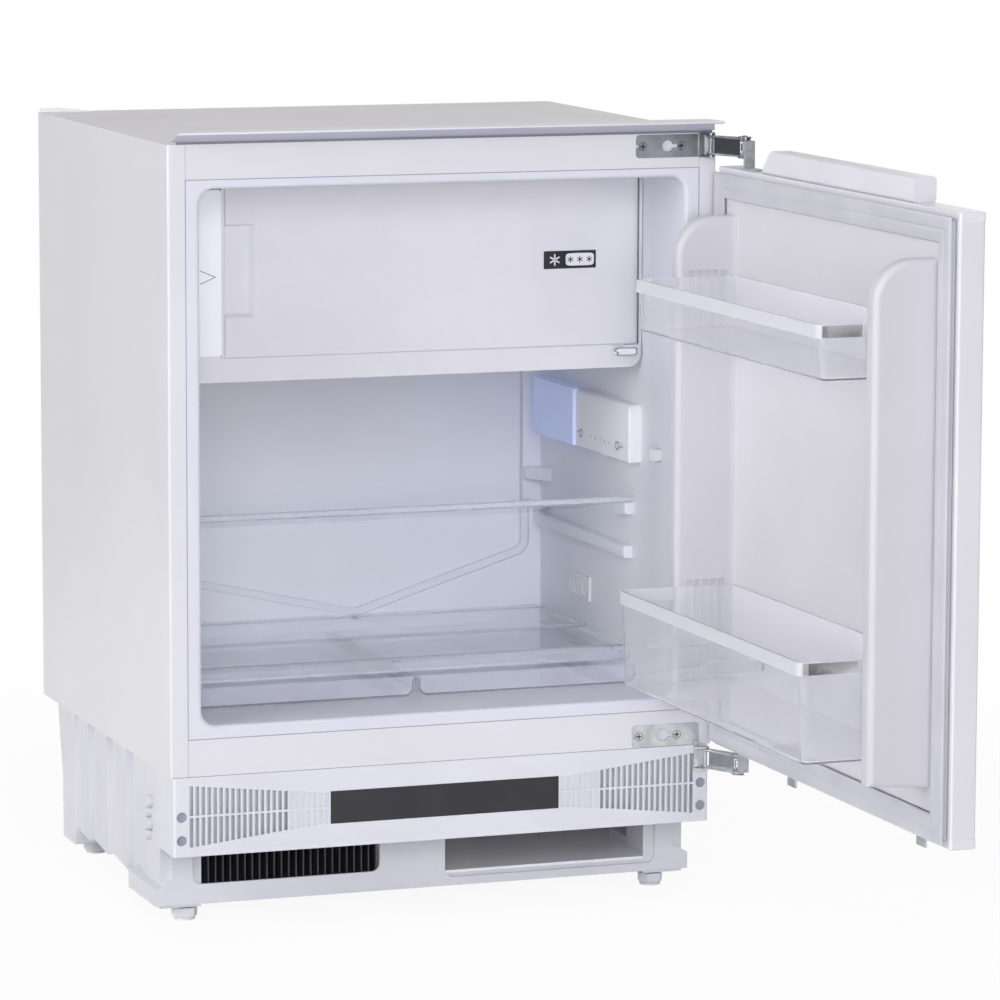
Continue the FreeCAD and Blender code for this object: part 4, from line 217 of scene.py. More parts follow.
# Tube as it is drawn, with tarnish in patches, and the ice box's lacquered sheet.
copper = surfaced("drawn_copper", ("#B3714F", "#C88A66"), 14, (0.8, 0.004), (0.25, 0.4), Metallic=1.0)
alloy = surfaced("painted_aluminium", ("#E1E4EA", "#E7E9EE"), 90, (1.6, 0.003), (0.3, 0.42), IOR=1.5)
print("metals", zinc.name, foil.name, copper.name)

# %% [markdown]
# The bins and drawers are clear polystyrene and the shelves are toughened glass. Light bends on its way in and out of
# each wall, so they get transmission and an IOR; lamps would cast them black shadows, so shadow rays pass straight
# through. A trace of milkiness keeps them pale and not invisible.


# %% Clear materials
def clear(name, tint, share, rough, ior, ripple, **shader):
    """See-through finish: a share of transmission, a wavy surface (width, depth in mm), open to shadow rays."""
    material, tree, output, place = new_material(name)
    wave = add(tree, "TexNoise", {"Scale": per_mm(ripple[0]), "Detail": 2.0}, {"Vector": place})
    bump = add(tree, "Bump", {"Strength": 1.0, "Distance": ripple[1] * MM}, {"Height": wave.outputs["Fac"]})
    values = {"Base Color": linear(tint), "Roughness": rough, "IOR": ior, "Transmission Weight": share, **shader}
    bsdf = add(tree, "BsdfPrincipled", values, {"Normal": bump.outputs["Normal"]})
    passing = add(tree, "BsdfTransparent", {"Color": linear(tint)})
    shadow = add(tree, "LightPath").outputs["Is Shadow Ray"]
    mix = add(tree, "MixShader", links={0: shadow, 1: bsdf.outputs["BSDF"], 2: passing.outputs["BSDF"]})
    tree.links.new(mix.outputs["Shader"], output.inputs["Surface"])
    return material


# The bins are polished, their bands are etched, and glass is the clearest of all. The IORs are set lower than a table
# gives, so that the thin walls bend and mirror as little as those in the picture.
clear_plastic = clear("clear_polystyrene", "#EFEFF1", 0.9, 0.03, 1.2, (40, 0.02))
frosted = clear("frosted_polystyrene", "#E6E7EA", 0.5, 0.4, 1.3, (8, 0.02))
glass = clear("toughened_glass", "#F4F8F8", 0.97, 0.01, 1.3, (200, 0.01))
clear_trim = clear("clear_acrylic_trim", "#F0F1F6", 0.76, 0.1, 1.25, (30, 0.02))
clear_drawer = clear("clear_polystyrene_drawer", "#F2F3F8", 0.83, 0.04, 1.2, (30, 0.02))
# A faint painted glow lightens the blue-tinted cover and the lamp behind it.
painted_glow = {"Emission Color": linear("#B9CBFF"), "Emission Strength": 0.13}
lamp_plastic = clear("lamp_polycarbonate", "#DFE7FF", 0.05, 0.35, 1.3, (6, 0.03), **painted_glow)
print("clear", clear_plastic.name, frosted.name, glass.name, lamp_plastic.name)

# %% [markdown]
# Each node of the frame gets one finish. A table with the finish first is shorter than sixty assignments, and it
# shows which pieces are made the same way.

# %% Finishes of the frame's nodes
finishes = {
    enamel: ("side_panels", "front_rails", "door_skin"),
    top_enamel: ("top_panel", "back_panel", "floor_pan"),
    polystyrene: ("inner_liner", "door_liner"),
    abs_white: ("drain_tube", "switch_housing", "switch_button", "wall_vent"),
    painted_light_abs: ("control_housing", "thermostat_dial", "icebox_latch"),
    abs_strip: ("top_strip",),
    satin_shaded_abs: ("icebox_frame", "icebox_flap", "door_caps", "door_bracket_cover"),
    clear_trim: ("shelf_trims", "crisper_trims"),
    polypropylene: (
        "vent_grille", "base_front", "base_posts", "base_skirts",
        "foot_front_left", "foot_front_right", "foot_rear_left", "foot_rear_right",
    ),
    polypropylene_lit: ("base_tray",),
    abs_dark: ("grille_plate", "fan_blade", "evaporation_tray", "power_inlet"),
    black_enamel: ("condenser", "compressor", "fan_motor"),
    rubber: ("compressor_mounts",),
    gasket_vinyl: ("door_gasket",),
    foam: ("cabinet_foam", "door_foam"),
    zinc: ("hinge_plates", "hinge_screws", "hinge_arms", "door_tabs"),
    dull_zinc: ("hinge_brackets",),
    frosted: ("upper_bin_trim", "lower_bin_trim"),
    copper: ("refrigerant_pipe",),
    alloy: ("icebox",),
    clear_plastic: ("upper_bin", "lower_bin", "bottle_retainer"),
    clear_drawer: ("crisper_left", "crisper_right"),
    glass: ("shelf_glass", "crisper_glass"),
    lamp_plastic: ("lamp_cover", "lamp"),
}
for material, names in finishes.items():
    for name in names:
        nodes[name].data.materials.clear()
        nodes[name].data.materials.append(material)
print("finished nodes", sum(len(names) for names in finishes.values()))

# %% [markdown]
# The new pieces are surfaces worked out as whole arrays: a grid of points with a quad between each four neighbours,
# or a flat outline drawn out to a slab. Each piece is placed by an origin and three directions, so the same few
# functions serve the open door and the square cabinet.


# %% Helpers for surfaces
def quads(rows, columns, wrap_rows=False, wrap_columns=False):
    """Faces of a grid numbered row by row: a point, the next in its row, and the two below them."""
    r = np.arange(rows if wrap_rows else rows - 1)[:, None]
    c = np.arange(columns if wrap_columns else columns - 1)[None, :]
    here, there = r * columns, (r + 1) % rows * columns
    past = (c + 1) % columns
    return np.stack([here + c, here + past, there + past, there + c], axis=-1).reshape(-1, 4).tolist()


def lofted(x, y, z):
    """Grids of coordinates whose rows are closed outlines: quads from row to row, a flat end on the outer two."""
    grid = np.stack(np.broadcast_arrays(x, y, z), axis=-1)
    rows, columns = grid.shape[:2]
    last = (rows - 1) * columns
    ends = [list(range(columns)), list(range(last, last + columns))]
    return grid.reshape(-1, 3), quads(rows, columns, wrap_columns=True) + ends


def slab(outline, thick):
    """Closed slab: the outline at height 0 and again at its thickness, joined by a wall."""
    return lofted(*outline.T, np.array([[0.0], [thick]]))


def placed(part, origin, across, up):
    """Local x, y and z become steps across, up and out of a face: origin + x across + y up + z (across x up)."""
    points, faces = part
    return np.array(origin) + points @ np.array([across, up, np.cross(across, up)]), faces


def linked(name, data):
    """New object with the given mesh, lamp or camera, in the scene."""
    made = bpy.data.objects.new(name, data)
    bpy.context.scene.collection.objects.link(made)
    return made


def piece(name, parts, material, body, crease=35):
    """One object from (points, faces) parts: joined, turned outwards, smooth up to a crease angle in degrees."""
    starts = np.cumsum([0] + [len(points) for points, faces in parts])
    faces = [[start + i for i in face] for start, part in zip(starts, parts) for face in part[1]]
    mesh = bpy.data.meshes.new(name)
    mesh.from_pydata(np.vstack([points for points, faces in parts]).tolist(), [], faces)
    shell = bmesh.new()
    shell.from_mesh(mesh)
    bmesh.ops.recalc_face_normals(shell, faces=shell.faces)
    shell.to_mesh(mesh)
    shell.free()
    mesh.shade_smooth()
    mesh.set_sharp_from_angle(angle=math.radians(crease))
    mesh.materials.append(material)
    made = linked(name, mesh)
    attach(made, body)
    print(name, "faces", len(mesh.polygons))
    return made


def vertices(node):
    """Points of a node's mesh as an array."""
    mesh = nodes[node].data
    flat = np.empty(3 * len(mesh.vertices))
    mesh.vertices.foreach_get("co", flat)
    return flat.reshape(-1, 3)


# %% [markdown]
# Everything on the door is square to it, and it stands open by some angle. The direction from its hinge side to its
# free side is the longest level edge of the outer skin.

# %% The door's directions
skin = nodes["door_skin"].data
edge_ends = np.empty(2 * len(skin.edges), dtype=int)
skin.edges.foreach_get("vertices", edge_ends)
runs = np.subtract(*vertices("door_skin")[edge_ends.reshape(-1, 2)].transpose(1, 0, 2))
level = np.where(np.abs(runs[:, 2]) < 1e-6, np.linalg.norm(runs, axis=1), 0.0)
DOOR_ACROSS = runs[level.argmax()] / level.max()
DOOR_ACROSS = DOOR_ACROSS * -np.sign(DOOR_ACROSS[1])
UP = np.array([0.0, 0.0, 1.0])
DOOR_OUT = np.cross(DOOR_ACROSS, UP)
DOOR_AXES = np.array([DOOR_ACROSS, UP, DOOR_OUT])
print("door across", DOOR_ACROSS.round(4), "towards the cabinet", DOOR_OUT.round(4))

# %% [markdown]
# The door's inner panel is the same formed sheet, made a little greyer by painted shade. Its two upright dykes are a
# shade darker in the picture, so painted shade follows how far a point stands out of the door.

# %% Door panel
dyke_top = (vertices("door_liner") @ DOOR_OUT).max() / MM
PANEL_PAINTED_SHADE = [
    (dyke_top - 80, "#FFFFFF"), (dyke_top - 66, "#FFFFFF"), (dyke_top - 58, "#F2F2F2"), (dyke_top, "#F2F2F2"),
]
PANEL = {"rough": (0.46, 0.56), "edge_mm": 1.2, "bands": (DOOR_OUT, PANEL_PAINTED_SHADE), "IOR": 1.59}
shaded_door_sheet = surfaced("formed_door_sheet_shaded", ("#D3D2D7", "#D7D6DB"), 120, (3.0, 0.002), **PANEL)
nodes["door_liner"].data.materials[0] = shaded_door_sheet
print("door panel", shaded_door_sheet.name, "dykes reach", round(dyke_top, 1))

# %% [markdown]
# The gasket is an extruded vinyl profile with a magnet in its flat face, a bellows under it and a soft lip each
# side, welded square at the corners. A swept curve could make it, but the mitres come out cleaner when each point
# of the profile is carried round its own rectangle.


# %% Door gasket
def softened(outline, rounds):
    """Rounds a closed outline by cutting corners: each side keeps its points at one and three quarters."""
    for _ in range(rounds):
        following = np.roll(outline, -1, axis=0)
        quarters = (0.75 * outline + 0.25 * following, 0.25 * outline + 0.75 * following)
        outline = np.stack(quarters, axis=1).reshape(-1, 2)
    return outline


def mitred_ring(low, high, profile):
    """Profile points (inset, height) carried round a rectangle: each gives a rectangle of its inset at its height."""
    inset, height = profile.T
    left, right = low[0] + inset, high[0] - inset
    foot, head = low[1] + inset, high[1] - inset
    deep = low[2] + height
    corners = [(left, foot), (right, foot), (right, head), (left, head)]
    grid = np.stack([np.stack([x, y, deep], axis=-1) for x, y in corners])
    return grid.reshape(-1, 3), quads(4, len(profile), True, True)


seal = vertices("door_gasket") @ DOOR_AXES.T
seal_low, seal_high = seal.min(axis=0), seal.max(axis=0)
SEAL_WIDE = 26.0 * MM
SEAL_DEEP = seal_high[2] - seal_low[2]
# Shares of the width and the depth: root, waist of the bellows, inner lip, flat face, outer lip, waist.
SEAL_SHAPE = [
    (0.10, 0.0), (0.90, 0.0), (0.86, 0.2), (0.78, 0.36), (0.82, 0.56), (1.0, 0.62), (1.0, 0.9), (0.86, 1.0),
    (0.56, 1.0), (0.52, 0.93), (0.48, 0.93), (0.44, 1.0), (0.14, 1.0), (0.0, 0.9), (0.0, 0.62), (0.18, 0.56),
    (0.22, 0.36), (0.14, 0.2),
]
seal_profile = softened(np.array(SEAL_SHAPE), 2) * (SEAL_WIDE, SEAL_DEEP)
ring_points, ring_faces = mitred_ring(seal_low, seal_high, seal_profile)
gasket = piece("gasket", [(ring_points @ DOOR_AXES, ring_faces)], gasket_vinyl, "door")
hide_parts("door_gasket")
print("gasket", (SEAL_WIDE / MM, SEAL_DEEP / MM))

# %% [markdown]
# The bins' ends carry a strip of brushed foil on the frosted band, the only metal that shows inside the door. It is
# a thin slab with round corners on each end face.


# %% Bin foils
def rounded_box(wide, high, radius, steps=6):
    """Outline of a rectangle about the origin with quarter-circle corners."""
    turn = np.linspace(0, math.pi / 2, steps)
    arc = radius * np.column_stack([np.cos(turn), np.sin(turn)])
    core = np.array([wide / 2 - radius, high / 2 - radius])
    back = arc[::-1]
    return np.vstack([arc + core, (back + core) * (-1, 1), -arc - core, (back + core) * (1, -1)])


FOIL_THICK, FOIL_MARGIN, BAND_ROUND = 0.12 * MM, 0.8 * MM, 3.0 * MM


def bin_foils(name, band, body):
    """Foil on the two end faces of a bin's band, from its round front corner back to its rear edge."""
    local = vertices(band) @ DOOR_AXES.T
    low, high = local.min(axis=0), local.max(axis=0)
    front = high[2] - BAND_ROUND
    wide = front - low[2] - 2 * FOIL_MARGIN
    tall = high[1] - low[1] - 2 * FOIL_MARGIN
    sheet = slab(rounded_box(wide, tall, FOIL_MARGIN), FOIL_THICK)
    middle = ((low[1] + high[1]) / 2, (low[2] + front) / 2)
    ends = ((high[0], DOOR_OUT), (low[0], -DOOR_OUT))
    parts = [placed(sheet, np.array([end, *middle]) @ DOOR_AXES, across, UP) for end, across in ends]
    return piece(name, parts, foil, body)


bin_foils("upper_bin_foil", "upper_bin_trim", "upper_bin")
bin_foils("lower_bin_foil", "lower_bin_trim", "lower_bin")

# %% [markdown]
# The ice box door is a moulded panel with soft edges and a finger scoop at its free end. It could be cut from a
# bevelled box, but a scoop that fades into the face is easier as a formula: each row is a closed outline of the
# panel seen from above, and the rows climb from its lower edge to its upper one.

# %% Ice box door
RIGHT = np.array([1.0, 0.0, 0.0])
BACK = np.array([0.0, 1.0, 0.0])
OUT = -BACK
PANEL_ROUND, PIN_BELOW, PIN_ABOVE, PIN_WIDE, LIP = 2.5 * MM, 4.7 * MM, 1.3 * MM, 6.0 * MM, 0.75 * MM
SCOOP_WIDE, SCOOP_DEEP, SCOOP_LOW, SCOOP_HIGH = 36.0 * MM, 4.5 * MM, 41.0 * MM, 140.0 * MM
# Lengths at the scoop's foot and head, and the share of its width, over which it fades in.
SCOOP_FADE, SCOOP_STEP, SCOOP_SIDE = 7.0 * MM, 2.0 * MM, 0.35
FACE_FROM, FACE_TO = 60.0 * MM, 400.0 * MM
flap_low, flap_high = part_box("icebox_flap")


def smooth(t):
    """Runs from 0 to 1 with level ends: 3 t squared less 2 t cubed, held beyond both ends."""
    t = np.clip(t, 0, 1)
    return t * t * (3 - 2 * t)


def ice_door(left, hinge, thick, heights):
    """Rows of one closed outline: round hinge edge, flat back, and a front that falls back in scoop and ends."""
    turn = np.linspace(-math.pi / 2, math.pi / 2, 17)
    corner = np.linspace(math.pi, 1.5 * math.pi, 7)
    scoop_run = np.linspace(PANEL_ROUND, SCOOP_WIDE + PANEL_ROUND, 19)[1:]
    run = np.concatenate([scoop_run, np.linspace(FACE_FROM, FACE_TO, 6)])
    x = np.concatenate([
        left + PANEL_ROUND * (1 + np.cos(corner)), left + run, hinge + thick / 2 * np.cos(turn),
        np.linspace(hinge, left, 8)[1:],
    ])
    y = np.concatenate([
        PANEL_ROUND * (1 + np.sin(corner)), np.zeros(len(run)), thick / 2 * (1 + np.sin(turn)), np.full(7, thick),
    ])
    z = heights[:, None]
    end = np.clip(PANEL_ROUND - np.minimum(z - z.min(), z.max() - z), 0, PANEL_ROUND)
    fall = PANEL_ROUND - np.sqrt(PANEL_ROUND**2 - end**2)
    tall = smooth((z - z.min() - SCOOP_LOW) / SCOOP_FADE) * smooth((z.min() + SCOOP_HIGH - z) / SCOOP_STEP)
    scoop = SCOOP_DEEP * tall * smooth((1 - (x - left) / SCOOP_WIDE) / SCOOP_SIDE)
    deep = np.maximum(np.minimum(y + scoop, thick), fall)
    return lofted(x, deep, z)


def disc(radius, count=24):
    """Outline of a circle about the origin."""
    turn = np.arange(count) * math.tau / count
    return radius * np.column_stack([np.cos(turn), np.sin(turn)])


panel_low, panel_high = flap_low.z + PIN_BELOW - LIP, flap_high.z - PIN_ABOVE + LIP
PANEL_THICK = flap_high.y - flap_low.y
edge_rows = PANEL_ROUND * (1 - np.cos(np.linspace(0, math.pi / 2, 7)))
scoop_foot = np.linspace(SCOOP_LOW, SCOOP_LOW + SCOOP_FADE, 9)
scoop_head = np.linspace(SCOOP_HIGH - SCOOP_STEP, SCOOP_HIGH, 5)
inner_rows = np.concatenate([scoop_foot, scoop_head])
panel_rows = np.concatenate([panel_low + edge_rows, panel_low + inner_rows, (panel_high - edge_rows)[::-1]])
hinge_x = flap_high.x - PANEL_THICK / 2
panel_points, panel_faces = ice_door(flap_low.x - LIP, hinge_x, PANEL_THICK, panel_rows)
pin = slab(disc(PIN_WIDE / 2), PIN_BELOW)
pin_foot = np.array([hinge_x, flap_low.y + PANEL_THICK / 2, flap_low.z])
pin_head = pin_foot + (flap_high.z - flap_low.z - PIN_BELOW) * UP
panel_parts = [(panel_points + flap_low.y * BACK, panel_faces)]
panel_parts += [placed(pin, spot, RIGHT, BACK) for spot in (pin_foot, pin_head)]
door_panel = piece("ice_box_door", panel_parts, satin_shaded_abs, "icebox_flap", 30)
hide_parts("icebox_flap")

# %% [markdown]
# Between the push latch and the door stands a thin rim of the frame, set back a little from both. A small function
# lays it as a slab on a face; labels and prints need that too.


# %% Latch rim
def laid(outlines, thick, at, across=RIGHT):
    """Outlines drawn out to slabs that stand upright on a face, at a point."""
    return [placed(slab(outline, thick), at, across, UP) for outline in outlines]


RIM_SUNK, RIM_PLAY, RIM_THICK, RIM_ROUND = 0.8 * MM, 0.25 * MM, 3.0 * MM, 0.4 * MM
latch_low, latch_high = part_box("icebox_latch")
rim_left, rim_right = latch_high.x + RIM_PLAY, flap_low.x - LIP - RIM_PLAY
rim = rounded_box(rim_right - rim_left, panel_high - panel_low, RIM_ROUND, 3)
rim_at = np.array([(rim_left + rim_right) / 2, flap_low.y + RIM_SUNK + RIM_THICK, (panel_low + panel_high) / 2])
piece("latch_rim", laid([rim], RIM_THICK, rim_at), satin_shaded_abs, "cabinet")

# %% [markdown]
# Under the door's hinge end a small lug holds the lower pin, in a pocket of the bar. The pocket could be cut, but a
# thin grey slab of painted shade behind the lug gives the same dark outline.

# %% Pin lug
# Gaps between white pieces lie in shade and show as blue-grey lines; this grey is painted shade, and it also stands
# for the shade in the lug's pocket and the grille's recesses.
seam_grey = surfaced("seam_shadow", ("#9091A0", "#9A9BAA"), 30, (0.6, 0.01), (0.6, 0.7), 0, IOR=1.5)
LUG_WIDE, LUG_TALL, LUG_THICK, LUG_LEFT, LUG_DROP = 22.0 * MM, 6.5 * MM, 1.6 * MM, 7.0 * MM, 8.0 * MM
POCKET_SHADE_THICK = 0.3 * MM
lug_at = np.array([hinge_x - LUG_LEFT, flap_low.y, panel_low - LUG_DROP])
pocket_shade = rounded_box(LUG_WIDE + 4 * MM, LUG_TALL + 2 * MM, 2.5 * MM)
lug = rounded_box(LUG_WIDE, LUG_TALL, 2.2 * MM)
claw = rounded_box(5.0 * MM, 3.0 * MM, 1.2 * MM) + (-0.52 * LUG_WIDE, -1.4 * MM)
piece("lug_pocket_shade", laid([pocket_shade], POCKET_SHADE_THICK, lug_at), seam_grey, "cabinet")
on_pocket_shade = lug_at + POCKET_SHADE_THICK * OUT
piece("pin_lug", laid([lug, claw], LUG_THICK, on_pocket_shade), abs_white, "cabinet")

# %% [markdown]
# A freezer compartment is marked by stars: one and three on a small dark label. The label is a vinyl slab, a star
# is three crossed strokes, and the pale field is a superellipse, a rectangle with full sides.

# %% Star label on the ice box door
# Screen ink on vinyl: flat, with a soft sheen.
VINYL = {"patch_mm": 20, "grain": (0.6, 0.004), "rough": (0.35, 0.5), "edge_mm": 0.05, "IOR": 1.5}
ink_black = surfaced("printed_vinyl_black", ("#1D1D20", "#242428"), **VINYL)
ink_white = surfaced("printed_vinyl_white", ("#E4E4EA", "#EAEAEF"), **VINYL)
LABEL_WIDE, LABEL_TALL = 59.0 * MM, 19.0 * MM
LABEL_FROM_RIGHT, LABEL_FROM_TOP = 79.5 * MM, 87.0 * MM
LAYER = 0.12 * MM


def stroke(length, width, angle, centre):
    """Outline of a bar with round ends, turned by an angle about its centre."""
    turn = (np.arange(16) + 0.5) * math.tau / 16
    x = np.sign(np.cos(turn)) * (length - width) / 2 + np.cos(turn) * width / 2
    y = np.sin(turn) * width / 2
    c, s = math.cos(angle), math.sin(angle)
    return np.column_stack([c * x - s * y, s * x + c * y]) + centre


def star(size, centre):
    """Three strokes through one centre, sixty degrees apart."""
    return [stroke(size, size * 0.13, math.pi / 6 + i * math.pi / 3, centre) for i in range(3)]


def superellipse(wide, high, power, count=48):
    """Outline where the shares of the half width and half height, each raised to a power, add up to one."""
    turn = np.arange(count) * math.tau / count
    c, s = np.cos(turn), np.sin(turn)
    x = np.sign(c) * np.abs(c) ** (2 / power) * wide / 2
    y = np.sign(s) * np.abs(s) ** (2 / power) * high / 2
    return np.column_stack([x, y])


label_at = np.array([flap_high.x - LABEL_FROM_RIGHT, flap_low.y, flap_high.z - LABEL_FROM_TOP])
plate = rounded_box(LABEL_WIDE, LABEL_TALL, 0.6 * MM)
field = superellipse(0.54 * LABEL_WIDE, 0.7 * LABEL_TALL, 6) + (0.19 * LABEL_WIDE, 0)
single = star(0.66 * LABEL_TALL, (-0.29 * LABEL_WIDE, 0))
triple = [o for i in (0, 0.18, 0.36) for o in star(0.38 * LABEL_TALL, ((0.01 + i) * LABEL_WIDE, 0))]
on_plate, on_field = label_at + LAYER * OUT, label_at + 2 * LAYER * OUT
piece("star_label", laid([plate], LAYER, label_at), ink_black, "icebox_flap")
piece("star_label_white", laid([field, *single], LAYER, on_plate), ink_white, "icebox_flap")
piece("star_label_stars", laid(triple, LAYER, on_field), ink_black, "icebox_flap")

# %% [markdown]
# Two small grey prints help the hand: a wedge on the push latch, and a scale beside the thermostat wheel with a ring
# at each end and short ticks between. Both are strokes like those of the stars.

# %% Prints on the latch and the control housing
# Pad-printed ink sinks in a little, so it is matt and never quite black.
ink_grey = surfaced("printed_ink_grey", ("#4C4D57", "#555660"), 12, (0.6, 0.002), (0.4, 0.5), 0.05, IOR=1.5)
INK = 0.05 * MM
WEDGE_LONG, WEDGE_TALL, WEDGE_LINE = 17.0 * MM, 14.0 * MM, 0.7 * MM
WEDGE_LEFT, WEDGE_HEIGHT = 2.0 * MM, 668.0 * MM
wedge_at = np.array([(latch_low.x + latch_high.x) / 2 - WEDGE_LEFT, latch_low.y, WEDGE_HEIGHT])
wedge_slant = math.atan2(WEDGE_TALL / 2, WEDGE_LONG)
wedge_side = math.hypot(WEDGE_LONG, WEDGE_TALL / 2)
wedge = [stroke(wedge_side, WEDGE_LINE, side * wedge_slant, (0, -side * WEDGE_TALL / 4)) for side in (1, -1)]
piece("latch_print", laid(wedge, INK, wedge_at), ink_grey, "icebox_latch")


def ring(radius, width, centre, count=12):
    """Circle of short strokes, each as long as its share of the circle."""
    angles = np.arange(count) * math.tau / count
    long = math.tau * radius / count + width
    spots = disc(radius, count) + centre
    return [stroke(long, width, a + math.pi / 2, spot) for a, spot in zip(angles, spots)]


housing_low, housing_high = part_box("control_housing")
SCALE_LINE, SCALE_RISE, SCALE_RING, TICK_TALL, TICKS = 1.0 * MM, 15.0 * MM, 4.0 * MM, 3.5 * MM, 5
scale_at = np.array([housing_low.x, (housing_low.y + housing_high.y) / 2, housing_low.z + SCALE_RISE])
marks = [o for x in (-62, 48) for o in ring(SCALE_RING, SCALE_LINE, (x * MM, 0))]
marks += [stroke(10 * MM, SCALE_LINE, 0, (60 * MM, 0)), stroke(6 * MM, SCALE_LINE, 0.5, (-71 * MM, 1 * MM))]
marks += [stroke(TICK_TALL, SCALE_LINE, math.pi / 2, (x, 0)) for x in np.linspace(-30, 25, TICKS) * MM]
piece("thermostat_scale", laid(marks, INK, scale_at, OUT), ink_grey, "cabinet")

# %% [markdown]
# The hinge plates are held by countersunk screws with a cross recess. A head is a grid of rings and angles whose
# level face sinks, with a smooth side, wherever a point lies close to one of two lines. Thin dark strokes stand for
# the shade in the recess and round the head.

# %% Hinge screws
SCREW_HEAD, SCREW_SHANK, SCREW_LONG, HEAD_DEEP = 4.5 * MM, 2.0 * MM, 10.0 * MM, 2.0 * MM
CROSS_WIDE, CROSS_REACH, CROSS_DEEP = 1.3 * MM, 2.7 * MM, 1.5 * MM
CROSS_SIDE, CROSS_END = 0.3 * MM, 0.5 * MM


def cross_screw(angles=64, rings=22):
    """Rings from the middle of the face to the rim, then cone and shank; the depth follows the cross on the face."""
    turn = np.arange(angles) * math.tau / angles
    face = np.linspace(0.02, 1.0, rings) * SCREW_HEAD
    radius = np.concatenate([face, [SCREW_SHANK, SCREW_SHANK, 0.1 * SCREW_SHANK]])
    depth = np.concatenate([np.zeros(rings), [HEAD_DEEP, SCREW_LONG, SCREW_LONG]])
    x = radius[:, None] * np.cos(turn)
    y = radius[:, None] * np.sin(turn)
    near = np.minimum(np.abs(x), np.abs(y))
    wall = np.clip((CROSS_WIDE / 2 - near) / CROSS_SIDE + 0.5, 0, 1)
    reach = np.clip((CROSS_REACH - np.hypot(x, y)) / CROSS_END + 0.5, 0, 1)
    recess = CROSS_DEEP * wall * reach * (np.arange(len(radius)) < rings)[:, None]
    return lofted(x, y, -(depth[:, None] + recess))


screws_low, screws_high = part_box("hinge_screws")
screw_spots = [
    (x, screws_low.y, z)
    for x in (screws_low.x + SCREW_HEAD, screws_high.x - SCREW_HEAD)
    for z in (screws_low.z + SCREW_HEAD, screws_high.z - SCREW_HEAD)
]
screw_parts = [placed(cross_screw(), spot, RIGHT, UP) for spot in screw_spots]
screws = piece("cross_screws", screw_parts, zinc, "cabinet", 50)
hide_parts("hinge_screws")
cross_marks = [stroke(1.8 * CROSS_REACH, 0.8 * MM, a, (0, 0)) for a in (0, math.pi / 2)]
cross_marks += ring(SCREW_HEAD - 0.2 * MM, 0.5 * MM, (0, 0), 24)
dark_lines = [line for spot in screw_spots for line in laid(cross_marks, INK, spot)]
piece("screw_shadows", dark_lines, dark_zinc, "cabinet")

# %% [markdown]
# A hinge arm is a channel folded from sheet: two flanges carry the pins, and a web joins them, set back from their
# edges. A flange is a fan of rays from its bore. Each ray ends at the first of three limits: the round end, the
# slanting edge, or the middle of the arm, where the other half begins.

# %% Hinge arms
joints = {joint["name"]: joint["pos_m"] for joint in frame["joints"] if joint["type"] == "hinge"}
PIVOT, EYE = np.array(joints["hinge_arm_swing"]), np.array(joints["door_swing"])
ARM_LONG = math.hypot(*(EYE - PIVOT)[:2])
ALONG = (EYE - PIVOT) * (1, 1, 0) / ARM_LONG
ACROSS = np.cross(UP, ALONG)
ARM_TALL, ARM_SHEET, PIVOT_ROUND, ARM_EYE, BORE = 20.0 * MM, 2.0 * MM, 4.4 * MM, 6.0 * MM, 2.45 * MM
EDGE_BREAK, NO_LIMIT, TINY = 0.3 * MM, 1.0, 1e-6


def half_flange(radius, tilt, count=64):
    """Round-ended half of a flat link, from a bore at the origin to its edge, along x to the arm's middle."""
    corner = math.atan2(radius / math.cos(tilt) + ARM_LONG / 2 * math.tan(tilt), ARM_LONG / 2)
    even = (np.arange(count) + 0.5) * math.tau / count
    angle = np.sort(np.append(even, [corner, math.tau - corner]))
    ray = np.stack([np.cos(angle), np.sin(angle)])
    side = np.where(np.sin(angle) > 0, 1.0, -1.0)
    lean = side * ray[1] * math.cos(tilt) - ray[0] * math.sin(tilt)
    edge = np.where(lean > TINY, radius / np.maximum(lean, TINY), NO_LIMIT)
    flat = np.where(ray[0] > 0, ARM_LONG / 2 / np.maximum(ray[0], TINY), NO_LIMIT)
    round_end = np.where(ray[0] < math.sin(-tilt), radius, NO_LIMIT)
    reach = np.minimum.reduce([edge, flat, round_end])
    inner, top = reach - EDGE_BREAK, ARM_SHEET - EDGE_BREAK
    loops = [(BORE, 0.0), (inner, 0.0), (reach, EDGE_BREAK), (reach, top), (inner, ARM_SHEET), (BORE, ARM_SHEET)]
    points = np.stack([np.column_stack([r * ray[0], r * ray[1], np.full(len(angle), z)]) for r, z in loops])
    return points.reshape(-1, 3), quads(len(loops), len(angle), True, True)


WEB_SHORT, WEB_THICK, WEB_SHIFT, WEB_BACK = 13.0 * MM, 1.2 * MM, 2.5 * MM, 2.6 * MM
arms_low, arms_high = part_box("hinge_arms")
arm_feet = (arms_low.z, arms_high.z - ARM_TALL)
arm_tilt = math.asin((ARM_EYE - PIVOT_ROUND) / ARM_LONG)
web = slab(rounded_box(ARM_LONG - WEB_SHORT, ARM_TALL - ARM_SHEET, 0.5 * MM, 3), WEB_THICK)
flanges, webs = [], []
for arm_z in arm_feet:
    for z in (arm_z, arm_z + ARM_TALL - ARM_SHEET):
        flanges.append(placed(half_flange(PIVOT_ROUND, arm_tilt), (*PIVOT[:2], z), ALONG, ACROSS))
        flanges.append(placed(half_flange(ARM_EYE, -arm_tilt), (*EYE[:2], z), -ALONG, -ACROSS))
    web_middle = (PIVOT + EYE) / 2 * (1, 1, 0) - WEB_SHIFT * ALONG + (arm_z + ARM_TALL / 2) * UP
    webs.append(placed(web, web_middle + WEB_BACK * ACROSS, ALONG, UP))
hinge_links = piece("hinge_flanges", flanges, zinc, "hinge_arms", 30)
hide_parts("hinge_arms")
piece("hinge_webs", webs, shaded_web_zinc, "hinge_arms", 30)

